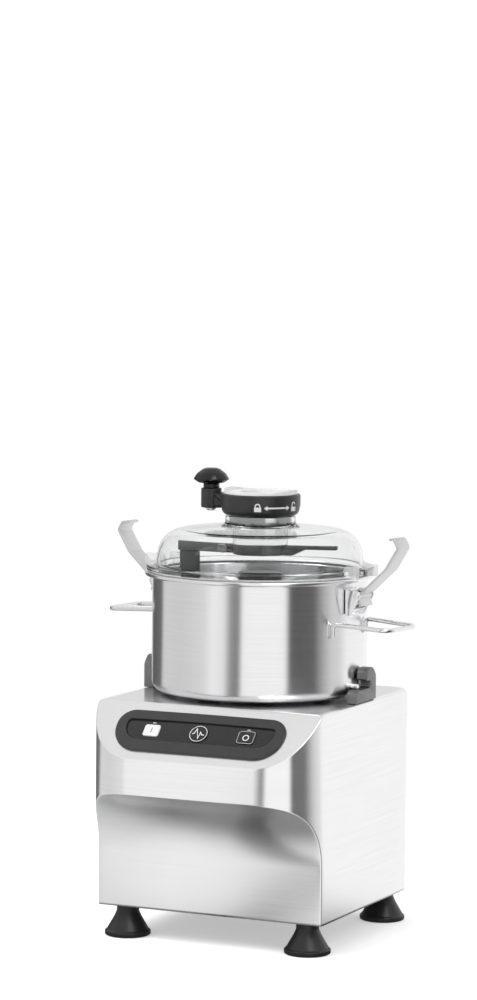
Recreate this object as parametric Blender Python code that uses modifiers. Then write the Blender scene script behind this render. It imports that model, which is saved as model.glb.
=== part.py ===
# Bench-top meat bowl cutter: steel motor base, lock-on bowl, lift-out blade unit and clear lid with a crank.
# Sizes are in millimetres and become metres as each shape is made. Heights count from the floor.
# It is modelled assembled, with the bowl at the angle where it lifts off and the latch arms swung open.
import math

import bmesh
import bpy
from mathutils import Matrix, Vector

for old in list(bpy.data.objects):
    bpy.data.objects.remove(old, do_unlink=True)

MM = 0.001
GAP = 0.3
RUNNING = 0.18

# Motor base
FOOT_HEIGHT = 35.5
FOOT_RADIUS = 25.5
FOOT_NECK_RADIUS = 12.5
FOOT_STUD_RADIUS = 4.0
FOOT_INSET_X = 26.0
FOOT_INSET_Y = 22.5
BODY_HEIGHT = 229.0
BODY_HALF_DEPTH = 127.0
BODY_EDGE = 1.0
SHEET = 2.0
BACK_CORNER = 23.0
TOP_FILLET = 5.0
NOSE_REACH = 52.0
NOSE_CORNER = 60.0
NOSE_TOP_DROP = 55.0
NOSE_BOTTOM_DROP = 95.0
COVE_DROP = 72.0
PLATE_THICKNESS = 2.5
AIR_SLOTS = 5
AIR_SLOT_PITCH = 14.0
AIR_SLOT_HALF_LENGTH = 35.0
AIR_SLOT_HALF_WIDTH = 2.5
GLAND_REACH = 14.0
GLAND_RADIUS = 7.5
GLAND_INSET = 40.0
GLAND_RISE = 32.0

# Control panel, laid out on the sloping face of the nose
BEZEL_INSET = 35.0
BEZEL_LOW = -32.0
BEZEL_HIGH = 30.0
BEZEL_THICKNESS = 2.6
FACE_INSET = 14.0
FACE_LOW = -18.0
FACE_HIGH = 20.0
FACE_RISE = 0.9
FACE_THICKNESS = 1.6
KEY_INSET = 29.5
KEY_WIDTH = 18.0
KEY_HEIGHT = 14.0
KEY_RISE = 1.4
KEY_LIP = 1.5
KEY_TRAVEL = 1.0
PULSE_KEY_RADIUS = 10.5
LIGHT_RADIUS = 1.5
LIGHT_HEIGHT = 11.5
BOARD_THICKNESS = 1.6

# Bowl, the pins that lock it and the hooks that take them
UNLOCK_ANGLE = 8.0
BOWL_RADIUS = 120.0
BOWL_WALL = 2.0
BOWL_HEIGHT = 133.5
BOWL_CORNER = 12.0
RIM_OVERHANG = 8.5
RIM_THICKNESS = 4.2
PIN_RADIUS = 3.0
PIN_RISE = 14.2
HOOK_GAP = 1.5
HOOK_WIDTH = 12.5
HOOK_HEIGHT = 38.0
PAD_RISE = 3.0
PAD_RING_RADIUS = 68.0
PAD_HALF_LENGTH = 16.0
PAD_HALF_WIDTH = 7.5
PAD_ANGLES = (-117.0, 3.0, 123.0)
HANDLE_ROD = 2.5
HANDLE_LENGTH = 65.0
HANDLE_HALF_SPAN = 34.0
HANDLE_DROP = 48.0

# Shaft, motor, seal collar and the tube in the middle of the bowl
SHAFT_RADIUS = 8.5
SHAFT_BELOW_RIM = 7.8
FLATS_LENGTH = 26.7
FLAT_DEPTH = 1.65
SEAL_CLEARANCE = 0.7
SEAL_WALL = 3.5
COLLAR_WALL = 5.95
COLLAR_FLANGE = 5.45
COLLAR_RISE = 11.0
RING_HEIGHT = 5.7
TUBE_CLEARANCE = 0.6
COLLAR_CLEARANCE = 1.15
TUBE_WALL = 1.7
TUBE_BELOW_RIM = 53.8
BEARING_WALL = 8.5
BEARING_HEIGHT = 13.0
STATOR_RADIUS = 66.0
STATOR_BORE = 38.0
STATOR_HEIGHT = 84.0
ROTOR_GAP = 0.7
FAN_RADIUS = 54.0
FAN_HEIGHT = 14.0
FAN_VANES = 6

# Latches
PIVOT_OUT = 15.0
PIVOT_DROP = 18.0
PIVOT_PIN_RADIUS = 2.0
ARM_HALF_WIDTH = 12.5
ARM_THICKNESS = 2.0
ARM_OPEN_ANGLE = 60.0
CHEEK_THICKNESS = 2.0

# Lid
LID_WALL = 3.0
LID_CLEARANCE = 1.4
LID_LIFT = 2.0
SKIRT_DEPTH = 18.0
FLANGE_THICKNESS = 5.4
FLANGE_INSET = 1.5
DOME_RISE = 45.5
DOME_LEAN = 5.1
DOME_FILLET = 28.0
CROWN_RISE = 51.4
NECK_WALL = 3.7
NECK_HEIGHT = 11.0
BUSH_BORE = 31.0
BUSH_WALL = 4.2
LUG_REACH = 14.0
LUG_HEIGHT = 12.4
LUG_THICKNESS = 8.0

# Crank, knob, scraper and filler cap
CRANK_ANGLE = 185.0
SPIGOT_CLEARANCE = 0.4
SPIGOT_WALL = 4.6
SPIGOT_LENGTH = 29.7
CRANK_WALL = 5.2
CRANK_HEIGHT = 23.8
BOSS_RADIUS = 11.5
STEM_RADIUS = 3.0
KNOB_RADIUS = 20.0
KNOB_NECK_RADIUS = 9.2
KNOB_HEIGHT = 22.6
CAP_INSET = 3.4
CAP_FLOOR = 2.2
CAP_RIM = 5.6
PLUG_DEPTH = 12.0
SCOOP_RADIUS = 44.0
BAR_HEIGHT = 12.7
BAR_HALF_WIDTH = 4.0
SCRAPER_THICKNESS = 4.0
SCRAPER_WIDTH = 22.0

# Blade unit
BLADE_FLOOR_GAP = 2.5
BLADE_THICKNESS = 2.0
BLADE_WALL_GAP = 14.0
HUB_CLEARANCE = 1.2
HUB_RING_RADIUS = 36.0
HUB_RING_HEIGHT = 25.2
HUB_CAP = 5.0

# Levels and radii that follow from the sizes above
half_width = BOWL_RADIUS + HOOK_GAP + HOOK_WIDTH + BODY_EDGE
front = -BODY_HALF_DEPTH
nose = front - NOSE_REACH
top = FOOT_HEIGHT + BODY_HEIGHT
bowl_low = top + PAD_RISE + GAP
rim = bowl_low + BOWL_HEIGHT
bowl_inner = BOWL_RADIUS - BOWL_WALL
rim_radius = BOWL_RADIUS + RIM_OVERHANG
seal_bore = SHAFT_RADIUS + SEAL_CLEARANCE
seal_spigot = seal_bore + SEAL_WALL
collar_radius = seal_bore + COLLAR_WALL
tube_bore = collar_radius + COLLAR_CLEARANCE
tube_radius = tube_bore + TUBE_WALL
tube_top = rim - TUBE_BELOW_RIM
hub_bore = tube_radius + HUB_CLEARANCE
shaft_top = rim - SHAFT_BELOW_RIM
bush_radius = BUSH_BORE + BUSH_WALL
neck_radius = bush_radius + GAP + NECK_WALL
neck_top = rim + CROWN_RISE + NECK_HEIGHT
spigot_radius = BUSH_BORE - SPIGOT_CLEARANCE
feed_radius = spigot_radius - SPIGOT_WALL
crank_radius = neck_radius + CRANK_WALL
crank_low = neck_top + GAP
crank_top = crank_low + CRANK_HEIGHT

# The shaft stands behind the middle of the footprint, because the nose reaches further than the cable gland.
SHAFT_Y = (NOSE_REACH - GLAND_REACH) / 2.0

ORIGIN = (0.0, 0.0, 0.0)
# Turns that lay an outline's x, y and height along Y, Z and X, or along X, Z and -Y
SIDEWAYS = (90.0, 0.0, 90.0)
UPRIGHT = (90.0, 0.0, 0.0)

# Colour, roughness and metallic value of each finish
FINISHES = {
    "brushed steel": ((0.62, 0.62, 0.63), 0.35, 1.0),
    "polished steel": ((0.78, 0.78, 0.79), 0.12, 1.0),
    "blade steel": ((0.60, 0.60, 0.62), 0.25, 1.0),
    "grey metal": ((0.06, 0.06, 0.063), 0.45, 0.6),
    "aluminium": ((0.50, 0.50, 0.52), 0.50, 1.0),
    "laminations": ((0.10, 0.10, 0.11), 0.60, 1.0),
    "rubber": ((0.02, 0.02, 0.02), 0.85, 0.0),
    "dark plastic": ((0.02, 0.02, 0.022), 0.45, 0.0),
    "gloss black": ((0.005, 0.005, 0.005), 0.12, 0.0),
    "white plastic": ((0.80, 0.80, 0.80), 0.40, 0.0),
    "clear plastic": ((0.90, 0.92, 0.93), 0.08, 0.0),
    "silicone": ((0.60, 0.60, 0.60), 0.60, 0.0),
    "circuit board": ((0.02, 0.10, 0.04), 0.60, 0.0),
}

parts = bpy.data.collections.new("meat_bowl_cutter")
cutters = bpy.data.collections.new("cutters")
for group in (parts, cutters):
    bpy.context.scene.collection.children.link(group)


def place(thing, at, turn, parent):
    """Sets a spot in millimetres and a turn in degrees, both in the parent's frame."""
    thing.location = Vector(at) * MM
    thing.rotation_euler = [math.radians(angle) for angle in turn]
    thing.parent = parent


def axis(name, at=ORIGIN, turn=ORIGIN, parent=None):
    """Adds an empty that pieces are placed on."""
    empty = bpy.data.objects.new(name, None)
    parts.objects.link(empty)
    place(empty, at, turn, parent)
    return empty


def add(name, data, finish, parent, at, turn):
    """Adds a piece with its own material, or a hidden cutter where the finish is None."""
    thing = bpy.data.objects.new(name, data)
    place(thing, at, turn, parent)
    if finish is None:
        cutters.objects.link(thing)
        thing.hide_render = True
        thing.display_type = "WIRE"
        return thing
    parts.objects.link(thing)
    colour, roughness, metallic = FINISHES[finish]
    material = bpy.data.materials.new(name)
    material.use_nodes = True
    shader = material.node_tree.nodes["Principled BSDF"]
    shader.inputs["Base Color"].default_value = (*colour, 1.0)
    shader.inputs["Roughness"].default_value = roughness
    shader.inputs["Metallic"].default_value = metallic
    data.materials.append(material)
    return thing


def finished_mesh(name, shape):
    """Makes mesh data from a bmesh, shaded smooth between sharp edges."""
    data = bpy.data.meshes.new(name)
    shape.to_mesh(data)
    shape.free()
    data.shade_smooth()
    data.set_sharp_from_angle(angle=math.radians(30.0))
    return data


def cylinder(name, radius, low, high, sides, finish=None, parent=None, at=ORIGIN, turn=ORIGIN):
    """A cylinder along Z between two heights."""
    shape = bmesh.new()
    lift = Matrix.Translation((0.0, 0.0, (low + high) / 2.0 * MM))
    size = radius * MM
    depth = (high - low) * MM
    bmesh.ops.create_cone(
        shape, cap_ends=True, segments=sides, radius1=size, radius2=size, depth=depth, matrix=lift
    )
    return add(name, finished_mesh(name, shape), finish, parent, at, turn)


def box(name, low, high, finish=None, parent=None, at=ORIGIN, turn=ORIGIN):
    """A block between two opposite corners."""
    low = Vector(low) * MM
    high = Vector(high) * MM
    shape = bmesh.new()
    stretch = Matrix.Diagonal((*(high - low), 1.0))
    bmesh.ops.create_cube(shape, size=1.0, matrix=Matrix.Translation((low + high) / 2.0) @ stretch)
    return add(name, finished_mesh(name, shape), finish, parent, at, turn)


def flat(name, outline, low, high, finish=None, parent=None, at=ORIGIN, turn=ORIGIN):
    """A flat outline raised between two heights: a filled 2D curve with an extrude, made into a mesh."""
    curve = bpy.data.curves.new(name, "CURVE")
    curve.dimensions = "2D"
    curve.fill_mode = "BOTH"
    curve.extrude = (high - low) / 2.0 * MM
    spline = curve.splines.new("POLY")
    spline.points.add(len(outline) - 1)
    for point, spot in zip(spline.points, outline):
        point.co = (spot[0] * MM, spot[1] * MM, 0.0, 1.0)
    spline.use_cyclic_u = True
    holder = bpy.data.objects.new(name, curve)
    filled = bpy.data.meshes.new_from_object(holder)
    bpy.data.objects.remove(holder)
    shape = bmesh.new()
    shape.from_mesh(filled)
    bpy.data.meshes.remove(filled)
    bmesh.ops.remove_doubles(shape, verts=shape.verts, dist=0.00001)
    bmesh.ops.dissolve_limit(shape, angle_limit=0.001, verts=shape.verts, edges=shape.edges)
    bmesh.ops.recalc_face_normals(shape, faces=shape.faces)
    bmesh.ops.translate(shape, vec=(0.0, 0.0, (low + high) / 2.0 * MM), verts=shape.verts)
    return add(name, finished_mesh(name, shape), finish, parent, at, turn)


def turned(name, profile, steps, finish=None, parent=None, at=ORIGIN, turn=ORIGIN):
    """Turns a profile of (radius, height) points, listed up its outer side, about Z.

    A profile that starts and ends on the axis stays open there; any other is closed to a loop.
    """
    data = bpy.data.meshes.new(name)
    spots = [(spot[0] * MM, 0.0, spot[1] * MM) for spot in reversed(profile)]
    edges = [(k, k + 1) for k in range(len(spots) - 1)]
    if spots[0][0] > 0.0:
        edges.append((len(spots) - 1, 0))
    data.from_pydata(spots, edges, [])
    thing = add(name, data, finish, parent, at, turn)
    screw = thing.modifiers.new("turn", "SCREW")
    screw.steps = steps
    screw.render_steps = steps
    screw.use_merge_vertices = True
    screw.merge_threshold = 0.000001
    return thing


def wire(name, path, radius, finish, parent):
    """A round wire along a path, with closed ends."""
    curve = bpy.data.curves.new(name, "CURVE")
    curve.dimensions = "3D"
    curve.bevel_depth = radius * MM
    curve.bevel_resolution = 2
    curve.use_fill_caps = True
    spline = curve.splines.new("POLY")
    spline.points.add(len(path) - 1)
    for point, spot in zip(spline.points, path):
        point.co = (*(spot * MM), 1.0)
    return add(name, curve, finish, parent, ORIGIN, ORIGIN)


def strap(name, path, half_width, thickness, finish, parent, turn):
    """A bent strap: a line in the XZ plane pulled out along Y and thickened."""
    shape = bmesh.new()
    spots = [shape.verts.new((spot[0] * MM, -half_width * MM, spot[1] * MM)) for spot in path]
    edges = [shape.edges.new(pair) for pair in zip(spots, spots[1:])]
    pulled = bmesh.ops.extrude_edge_only(shape, edges=edges)["geom"]
    far = [item for item in pulled if isinstance(item, bmesh.types.BMVert)]
    bmesh.ops.translate(shape, vec=(0.0, 2.0 * half_width * MM, 0.0), verts=far)
    thing = add(name, finished_mesh(name, shape), finish, parent, ORIGIN, turn)
    sheet = thing.modifiers.new("thickness", "SOLIDIFY")
    sheet.thickness = thickness * MM
    sheet.offset = 0.0
    sheet.use_even_offset = True
    return thing


def combine(target, tool, operation):
    step = target.modifiers.new(tool.name, "BOOLEAN")
    step.operation = operation
    step.solver = "EXACT"
    step.object = tool


def rounded(corners, closed=True):
    """Points through corners of (x, y, radius) or (x, y, z, radius), each bent to an arc of its radius."""
    spots = [Vector((*corner[:-1], 0.0)[:3]) for corner in corners]
    last = len(spots) - 1
    points = []
    for k, here in enumerate(spots):
        radius = corners[k][-1]
        if radius == 0.0 or (k in (0, last) and not closed):
            points.append(here)
            continue
        before = (spots[k - 1] - here).normalized()
        after = (spots[(k + 1) % len(spots)] - here).normalized()
        half = before.angle(after) / 2.0
        reach = radius / math.tan(half)
        centre = here + (before + after).normalized() * (radius / math.sin(half))
        start = here + before * reach - centre
        stop = here + after * reach - centre
        steps = max(1, round(math.sqrt(radius)))
        points += [centre + radius * start.slerp(stop, step / steps) for step in range(steps + 1)]
    return points


def arc(x, y, radius, start, stop, steps):
    """Points on an arc about (x, y), with its angles in degrees."""
    angles = [math.radians(start + (stop - start) * k / steps) for k in range(steps + 1)]
    return [Vector((x + radius * math.cos(a), y + radius * math.sin(a), 0.0)) for a in angles]


def circle(radius, steps):
    return arc(0.0, 0.0, radius, 0.0, 360.0, steps)[:-1]


def grown(outline, distance):
    """The same outline moved outwards by a distance, or inwards where it is negative."""
    spots = [Vector(spot[:2]) for spot in outline]
    follows = spots[1:] + spots[:1]
    area = sum(here.cross(there) for here, there in zip(spots, follows))
    moved = []
    for k, here in enumerate(spots):
        back = (here - spots[k - 1]).normalized()
        ahead = (follows[k] - here).normalized()
        side = Vector((back.y, -back.x)) * math.copysign(1.0, area)
        other = Vector((ahead.y, -ahead.x)) * math.copysign(1.0, area)
        middle = (side + other).normalized()
        moved.append(here + middle * (distance / middle.dot(side)))
    return moved


def mirrored(outline):
    return [(spot[0], -spot[1]) for spot in outline]


machine = axis("machine", (0.0, SHAFT_Y, 0.0))

# Housing: a side view pulled across and a plan pulled up, common to both, and hollowed the same way
cove_radius = (NOSE_REACH**2 + COVE_DROP**2) / (2.0 * NOSE_REACH)
cove_angle = math.degrees(math.asin(COVE_DROP / cove_radius))
nose_low = top - NOSE_BOTTOM_DROP


def side_outline(low):
    """Side view of the housing, with the cove under the nose as an arc that runs out in the front wall."""
    corners = [(BODY_HALF_DEPTH, low, 0.0), (BODY_HALF_DEPTH, top, TOP_FILLET), (front, top, 3.0)]
    corners += [(nose, top - NOSE_TOP_DROP, 2.5), (nose, nose_low, 0.0)]
    cove = arc(front - cove_radius, nose_low - COVE_DROP, cove_radius, cove_angle, 0.0, 6)
    return rounded(corners) + cove[1:] + [Vector((front, low, 0.0))]


nose_corners = [(side * half_width, nose, NOSE_CORNER) for side in (-1.0, 1.0)]
back_corners = [(side * half_width, BODY_HALF_DEPTH, BACK_CORNER) for side in (1.0, -1.0)]
plan = rounded(nose_corners + back_corners)
across = half_width + 10.0
above = top + 10.0
housing = flat(
    "base_housing", side_outline(FOOT_HEIGHT), -across, across, "brushed steel", machine, turn=SIDEWAYS
)
outer_plan = flat("outer_plan", plan, 0.0, above, parent=machine)
inside = flat("inside", grown(side_outline(0.0), -SHEET), -across, across, parent=machine, turn=SIDEWAYS)
inner_plan = flat("inner_plan", grown(plan, -SHEET), -FOOT_HEIGHT, above, parent=machine)
seal_hole = cylinder("seal_hole", seal_spigot + GAP, top - 20.0, above, 24, parent=machine)
combine(inside, inner_plan, "INTERSECT")
combine(housing, outer_plan, "INTERSECT")
combine(housing, inside, "DIFFERENCE")
combine(housing, seal_hole, "DIFFERENCE")

# Base plate, its air slots, and the feet with studs through it
plate_low = FOOT_HEIGHT + 0.5
plate_top = plate_low + PLATE_THICKNESS
plate_x = half_width - SHEET - GAP
plate_y = BODY_HALF_DEPTH - SHEET - GAP
front_pair = [(side * plate_x, -plate_y, 8.0) for side in (-1.0, 1.0)]
back_pair = [(side * plate_x, plate_y, BACK_CORNER - SHEET - GAP) for side in (1.0, -1.0)]
base_plate = flat(
    "base_plate", rounded(front_pair + back_pair), plate_low, plate_top, "brushed steel", machine
)
slot_shape = [(AIR_SLOT_HALF_LENGTH, AIR_SLOT_HALF_WIDTH), (-AIR_SLOT_HALF_LENGTH, AIR_SLOT_HALF_WIDTH)]
slot_shape += [(-x, -y) for x, y in slot_shape]
slot = rounded([(x, y, 0.9 * AIR_SLOT_HALF_WIDTH) for x, y in slot_shape])
for k in range(AIR_SLOTS):
    spot = (0.0, (k - (AIR_SLOTS - 1) / 2.0) * AIR_SLOT_PITCH, 0.0)
    opening = flat(f"air_slot_{k + 1}", slot, 0.0, plate_top + 10.0, parent=machine, at=spot)
    combine(base_plate, opening, "DIFFERENCE")

foot_x = half_width - FOOT_INSET_X
foot_y = BODY_HALF_DEPTH - FOOT_INSET_Y
foot_shape = [(0.0, 0.0, 0.0), (FOOT_RADIUS, 0.0, 1.5), (FOOT_RADIUS, 6.0, 1.5)]
foot_shape += [(FOOT_NECK_RADIUS + 1.5, 22.5, 4.0), (FOOT_NECK_RADIUS, plate_low - GAP, 0.0)]
foot_shape += [(FOOT_STUD_RADIUS, plate_low - GAP, 0.0), (FOOT_STUD_RADIUS, plate_top + 6.0, 0.0)]
foot_shape += [(0.0, plate_top + 6.0, 0.0)]
foot_spots = {
    "front_left": (-foot_x, -foot_y, 0.0),
    "front_right": (foot_x, -foot_y, 0.0),
    "back_right": (foot_x, foot_y, 0.0),
    "back_left": (-foot_x, foot_y, 0.0),
}
for corner, spot in foot_spots.items():
    turned("foot_" + corner, rounded(foot_shape), 12, "rubber", machine, spot)
    stud_hole = cylinder(
        "stud_hole_" + corner, FOOT_STUD_RADIUS + GAP, 0.0, plate_top + 10.0, 14, parent=machine, at=spot
    )
    combine(base_plate, stud_hole, "DIFFERENCE")

# Cable gland low on the back
gland_spot = (half_width - GLAND_INSET, BODY_HALF_DEPTH, FOOT_HEIGHT + GLAND_RISE)
gland_bore = GLAND_RADIUS - 3.0
gland = [(gland_bore, -SHEET - 8.0), (GLAND_RADIUS, -SHEET - 8.0), (GLAND_RADIUS, GAP)]
gland += [(GLAND_RADIUS + 4.5, GAP), (GLAND_RADIUS + 4.5, 5.0), (GLAND_RADIUS + 2.0, 7.0)]
gland += [(GLAND_RADIUS + 1.0, GLAND_REACH), (gland_bore, GLAND_REACH)]
turned("cable_gland", gland, 14, "dark plastic", machine, gland_spot, (-90.0, 0.0, 0.0))
gland_hole = cylinder(
    "gland_hole", GLAND_RADIUS + GAP, -20.0, 20.0, 20, parent=machine, at=gland_spot, turn=(-90.0, 0.0, 0.0)
)
combine(housing, gland_hole, "DIFFERENCE")

# Control panel: x across, y up the slope, height out of it
slope = math.degrees(math.atan2(NOSE_TOP_DROP, NOSE_REACH))
panel_spot = (0.0, front - NOSE_REACH / 2.0, top - NOSE_TOP_DROP / 2.0)
panel = axis("panel", panel_spot, (slope, 0.0, 0.0), machine)
bezel_x = half_width - BEZEL_INSET
face_x = bezel_x - FACE_INSET
key_x = face_x - KEY_INSET
face_low = FACE_RISE - FACE_THICKNESS
lip_top = face_low - GAP
lip_low = lip_top - FACE_THICKNESS
board_top = lip_low - KEY_TRAVEL - 0.6


def panel_outline(low_x, low, low_radius, high_x, high, high_radius):
    lower = [(side * low_x, low, low_radius) for side in (-1.0, 1.0)]
    upper = [(side * high_x, high, high_radius) for side in (1.0, -1.0)]
    return rounded(lower + upper)


face_shape = panel_outline(face_x - 6.0, FACE_LOW, 17.0, face_x, FACE_HIGH, 5.0)
window = flat("panel_window", grown(face_shape, GAP), -12.0, 12.0, parent=panel)
bezel_shape = panel_outline(bezel_x, BEZEL_LOW, 33.0, bezel_x, BEZEL_HIGH, 26.0)
bezel = flat("panel_bezel", bezel_shape, GAP, GAP + BEZEL_THICKNESS, "dark plastic", panel)
panel_face = flat("panel_face", face_shape, face_low, FACE_RISE, "dark plastic", panel)
combine(housing, window, "DIFFERENCE")
combine(bezel, window, "DIFFERENCE")

key_corners = [(side * KEY_WIDTH / 2.0, -KEY_HEIGHT / 2.0, 2.0) for side in (-1.0, 1.0)]
key_corners += [(side * KEY_WIDTH / 2.0, KEY_HEIGHT / 2.0, 2.0) for side in (1.0, -1.0)]
keys = {
    "key_start": (-key_x, rounded(key_corners), "white plastic"),
    "key_pulse": (0.0, circle(PULSE_KEY_RADIUS, 20), "dark plastic"),
    "key_stop": (key_x, rounded(key_corners), "dark plastic"),
}
for name, (x, shape, finish) in keys.items():
    spot = (x, 0.0, 0.0)
    key = flat(name, shape, lip_low, FACE_RISE + KEY_RISE, finish, panel, spot)
    lip = flat(name + "_lip", grown(shape, KEY_LIP), lip_low - 0.1, lip_top, parent=panel, at=spot)
    key_hole = flat(name + "_hole", grown(shape, GAP), -10.0, 10.0, parent=panel, at=spot)
    combine(key, lip, "UNION")
    combine(panel_face, key_hole, "DIFFERENCE")
for name, x in (("light_start", -key_x), ("light_stop", key_x)):
    spot = (x, LIGHT_HEIGHT, 0.0)
    cylinder(name, LIGHT_RADIUS, face_low - 0.6, FACE_RISE + 0.3, 12, "white plastic", panel, spot)
    light_hole = cylinder(name + "_hole", LIGHT_RADIUS + 0.1, -10.0, 10.0, 12, parent=panel, at=spot)
    combine(panel_face, light_hole, "DIFFERENCE")

# Circuit board behind the keys, clear of their travel, on two posts from the panel's face
board_x = face_x - 10.0
board_low = (-board_x, FACE_LOW + 5.0, board_top - BOARD_THICKNESS)
board_high = (board_x, FACE_HIGH - 3.0, board_top)
panel_board = box("panel_board", board_low, board_high, "circuit board", panel)
for side in (-1.0, 1.0):
    spot = (side * (board_x - 4.0), 2.0, 0.0)
    post = box(f"board_post_{side:+.0f}", (-2.5, -12.0, board_top - 0.8), (2.5, 12.0, lip_top), None, panel, spot)
    combine(panel_board, post, "UNION")

# Hooks half a turn apart; each notch takes a pin of the bowl when the bowl is turned home
pin_height = PAD_RISE + GAP + PIN_RISE
notch_low = pin_height - PIN_RADIUS - 0.7
notch_top = notch_low + 2.0 * PIN_RADIUS + 2.9
notch_back = -PIN_RADIUS - 0.6
hook_inner = BOWL_RADIUS + HOOK_GAP
hook_outer = hook_inner + HOOK_WIDTH
hook_shape = [(-18.5, 0.0, 0.0), (35.5, 0.0, 0.0), (33.0, notch_low, 5.0), (notch_back, notch_low, 0.0)]
hook_shape += [(notch_back, notch_top, 0.0), (6.0, notch_top + 1.4, 2.5)]
hook_shape += [(3.0, HOOK_HEIGHT, 5.0), (-18.5, HOOK_HEIGHT, 8.0)]
for side, angle in (("right", 180.0), ("left", 0.0)):
    hook_axis = axis("hook_axis_" + side, (0.0, 0.0, top + GAP), (0.0, 0.0, angle), machine)
    flat("hook_" + side, rounded(hook_shape), -hook_outer, -hook_inner, "grey metal", hook_axis, turn=SIDEWAYS)

# Shaft seal collar through the top, and the loose ring on it that the bowl turns on
seal_low = top - 8.0
collar_top = top + COLLAR_RISE
collar_flange = collar_radius + COLLAR_FLANGE
collar = [(seal_bore, seal_low), (seal_spigot, seal_low), (seal_spigot, top + GAP), (collar_flange, top + GAP)]
collar += [(collar_flange, top + 2.3), (collar_radius + 1.2, top + 2.9), (collar_radius, top + 4.2)]
collar += [(collar_radius, collar_top), (seal_bore, collar_top)]
turned("shaft_seal", collar, 16, "dark plastic", machine)
ring_outer = tube_bore - TUBE_CLEARANCE
ring_low = collar_top + GAP
ring_top = ring_low + RING_HEIGHT
centring = [(seal_bore, ring_low), (ring_outer, ring_low), (ring_outer, ring_top - 0.8)]
centring += [(ring_outer - 0.8, ring_top), (seal_bore, ring_top)]
turned("centring_ring", centring, 18, "dark plastic", machine)

# Rubber pads under the bowl
pad_ends = [(PAD_HALF_WIDTH, -PAD_HALF_LENGTH), (PAD_HALF_WIDTH, PAD_HALF_LENGTH)]
pad_ends += [(-x, -y) for x, y in pad_ends]
pad = rounded([(x, y, 0.98 * PAD_HALF_WIDTH) for x, y in pad_ends])
for k, angle in enumerate(PAD_ANGLES):
    pad_axis = axis(f"pad_axis_{k + 1}", (0.0, 0.0, top), (0.0, 0.0, angle), machine)
    flat(f"bowl_pad_{k + 1}", pad, GAP, PAD_RISE, "rubber", pad_axis, (PAD_RING_RADIUS, 0.0, 0.0))

# Direct-drive motor hung under the top
bearing_radius = SHAFT_RADIUS + BEARING_WALL
seat_radius = bearing_radius + GAP
boss_radius = bearing_radius + 7.0
shield_radius = STATOR_RADIUS + 2.0
plate_under = top - SHEET - GAP
mount_low = plate_under - 5.0
shield_roof = seal_low - 2.9
shield_top = shield_roof - 0.4
stator_top = shield_top - 14.0 - GAP
stator_low = stator_top - STATOR_HEIGHT
shield_low = stator_low - GAP
mount_half = shield_radius + 16.0
mount_corners = [(mount_half, -mount_half, 10.0), (mount_half, mount_half, 10.0)]
mount_corners += [(-x, -y, radius) for x, y, radius in mount_corners]
motor_plate = flat("motor_plate", rounded(mount_corners), mount_low, plate_under, "aluminium", machine)
plate_hole = cylinder("motor_plate_hole", seal_spigot + 3.0, mount_low - 10.0, above, 24, parent=machine)
combine(motor_plate, plate_hole, "DIFFERENCE")
shield_bore = SHAFT_RADIUS + 1.5
dish = shield_radius - 8.0
upper = [(shield_bore, shield_roof), (shield_bore, shield_top - 3.0), (seat_radius, shield_top - 3.0)]
upper += [(seat_radius, shield_top - 17.0), (boss_radius, shield_top - 17.0), (boss_radius, shield_top - 6.0)]
upper += [(dish, shield_top - 6.0), (shield_radius - 6.0, shield_top - 14.0)]
upper += [(shield_radius, shield_top - 14.0), (shield_radius, shield_top - 4.0), (dish, shield_roof)]
turned("upper_shield", upper, 18, "aluminium", machine)
lower = [(shield_bore, shield_low - 14.0), (dish, shield_low - 14.0), (shield_radius, shield_low - 10.0)]
lower += [(shield_radius, shield_low), (shield_radius - 6.0, shield_low), (dish, shield_low - 8.0)]
lower += [(boss_radius, shield_low - 8.0), (boss_radius, shield_low + 3.0), (seat_radius, shield_low + 3.0)]
lower += [(seat_radius, shield_low - 11.0), (shield_bore, shield_low - 11.0)]
turned("lower_shield", lower, 18, "aluminium", machine)
stator = [(STATOR_BORE, stator_low), (STATOR_RADIUS, stator_low)]
stator += [(STATOR_RADIUS, stator_top), (STATOR_BORE, stator_top)]
turned("stator", stator, 20, "laminations", machine)
bearing_bore = SHAFT_RADIUS + RUNNING
upper_bearing_low = shield_top - 3.0 - GAP - BEARING_HEIGHT
lower_bearing_low = shield_low - 11.0 + GAP
for name, low in (("upper_bearing", upper_bearing_low), ("lower_bearing", lower_bearing_low)):
    high = low + BEARING_HEIGHT
    race = [(bearing_bore, low), (bearing_radius, low), (bearing_radius, high), (bearing_bore, high)]
    turned(name, race, 20, "polished steel", machine)

# Spindle: shaft, rotor and fan
rotor_bore = SHAFT_RADIUS + GAP
rotor_radius = STATOR_BORE - ROTOR_GAP
rotor = [(rotor_bore, stator_low + 6.0), (rotor_radius, stator_low + 6.0)]
rotor += [(rotor_radius, stator_top - 6.0), (rotor_bore, stator_top - 6.0)]
turned("rotor", rotor, 20, "laminations", machine)
fan_top = shield_low - 14.0 - 4.0
fan_low = fan_top - FAN_HEIGHT
fan_hub = SHAFT_RADIUS + 7.5
hub_shape = [(rotor_bore, fan_low), (fan_hub, fan_low), (fan_hub, fan_top), (rotor_bore, fan_top)]
cooling_fan = turned("cooling_fan", hub_shape, 16, "dark plastic", machine)
for k in range(FAN_VANES):
    turn = (0.0, 0.0, 360.0 * k / FAN_VANES)
    vane_low = (fan_hub - 2.0, -1.5, fan_low + 1.0)
    vane = box(f"vane_{k + 1}", vane_low, (FAN_RADIUS, 1.5, fan_top - 3.0), None, machine, turn=turn)
    combine(cooling_fan, vane, "UNION")
shaft_low = fan_low - 3.0
shaft_shape = [(0.0, shaft_low, 0.0), (SHAFT_RADIUS, shaft_low, 1.0), (SHAFT_RADIUS, shaft_top, 1.0)]
drive_shaft = turned(
    "drive_shaft", rounded(shaft_shape + [(0.0, shaft_top, 0.0)]), 20, "polished steel", machine
)
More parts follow.
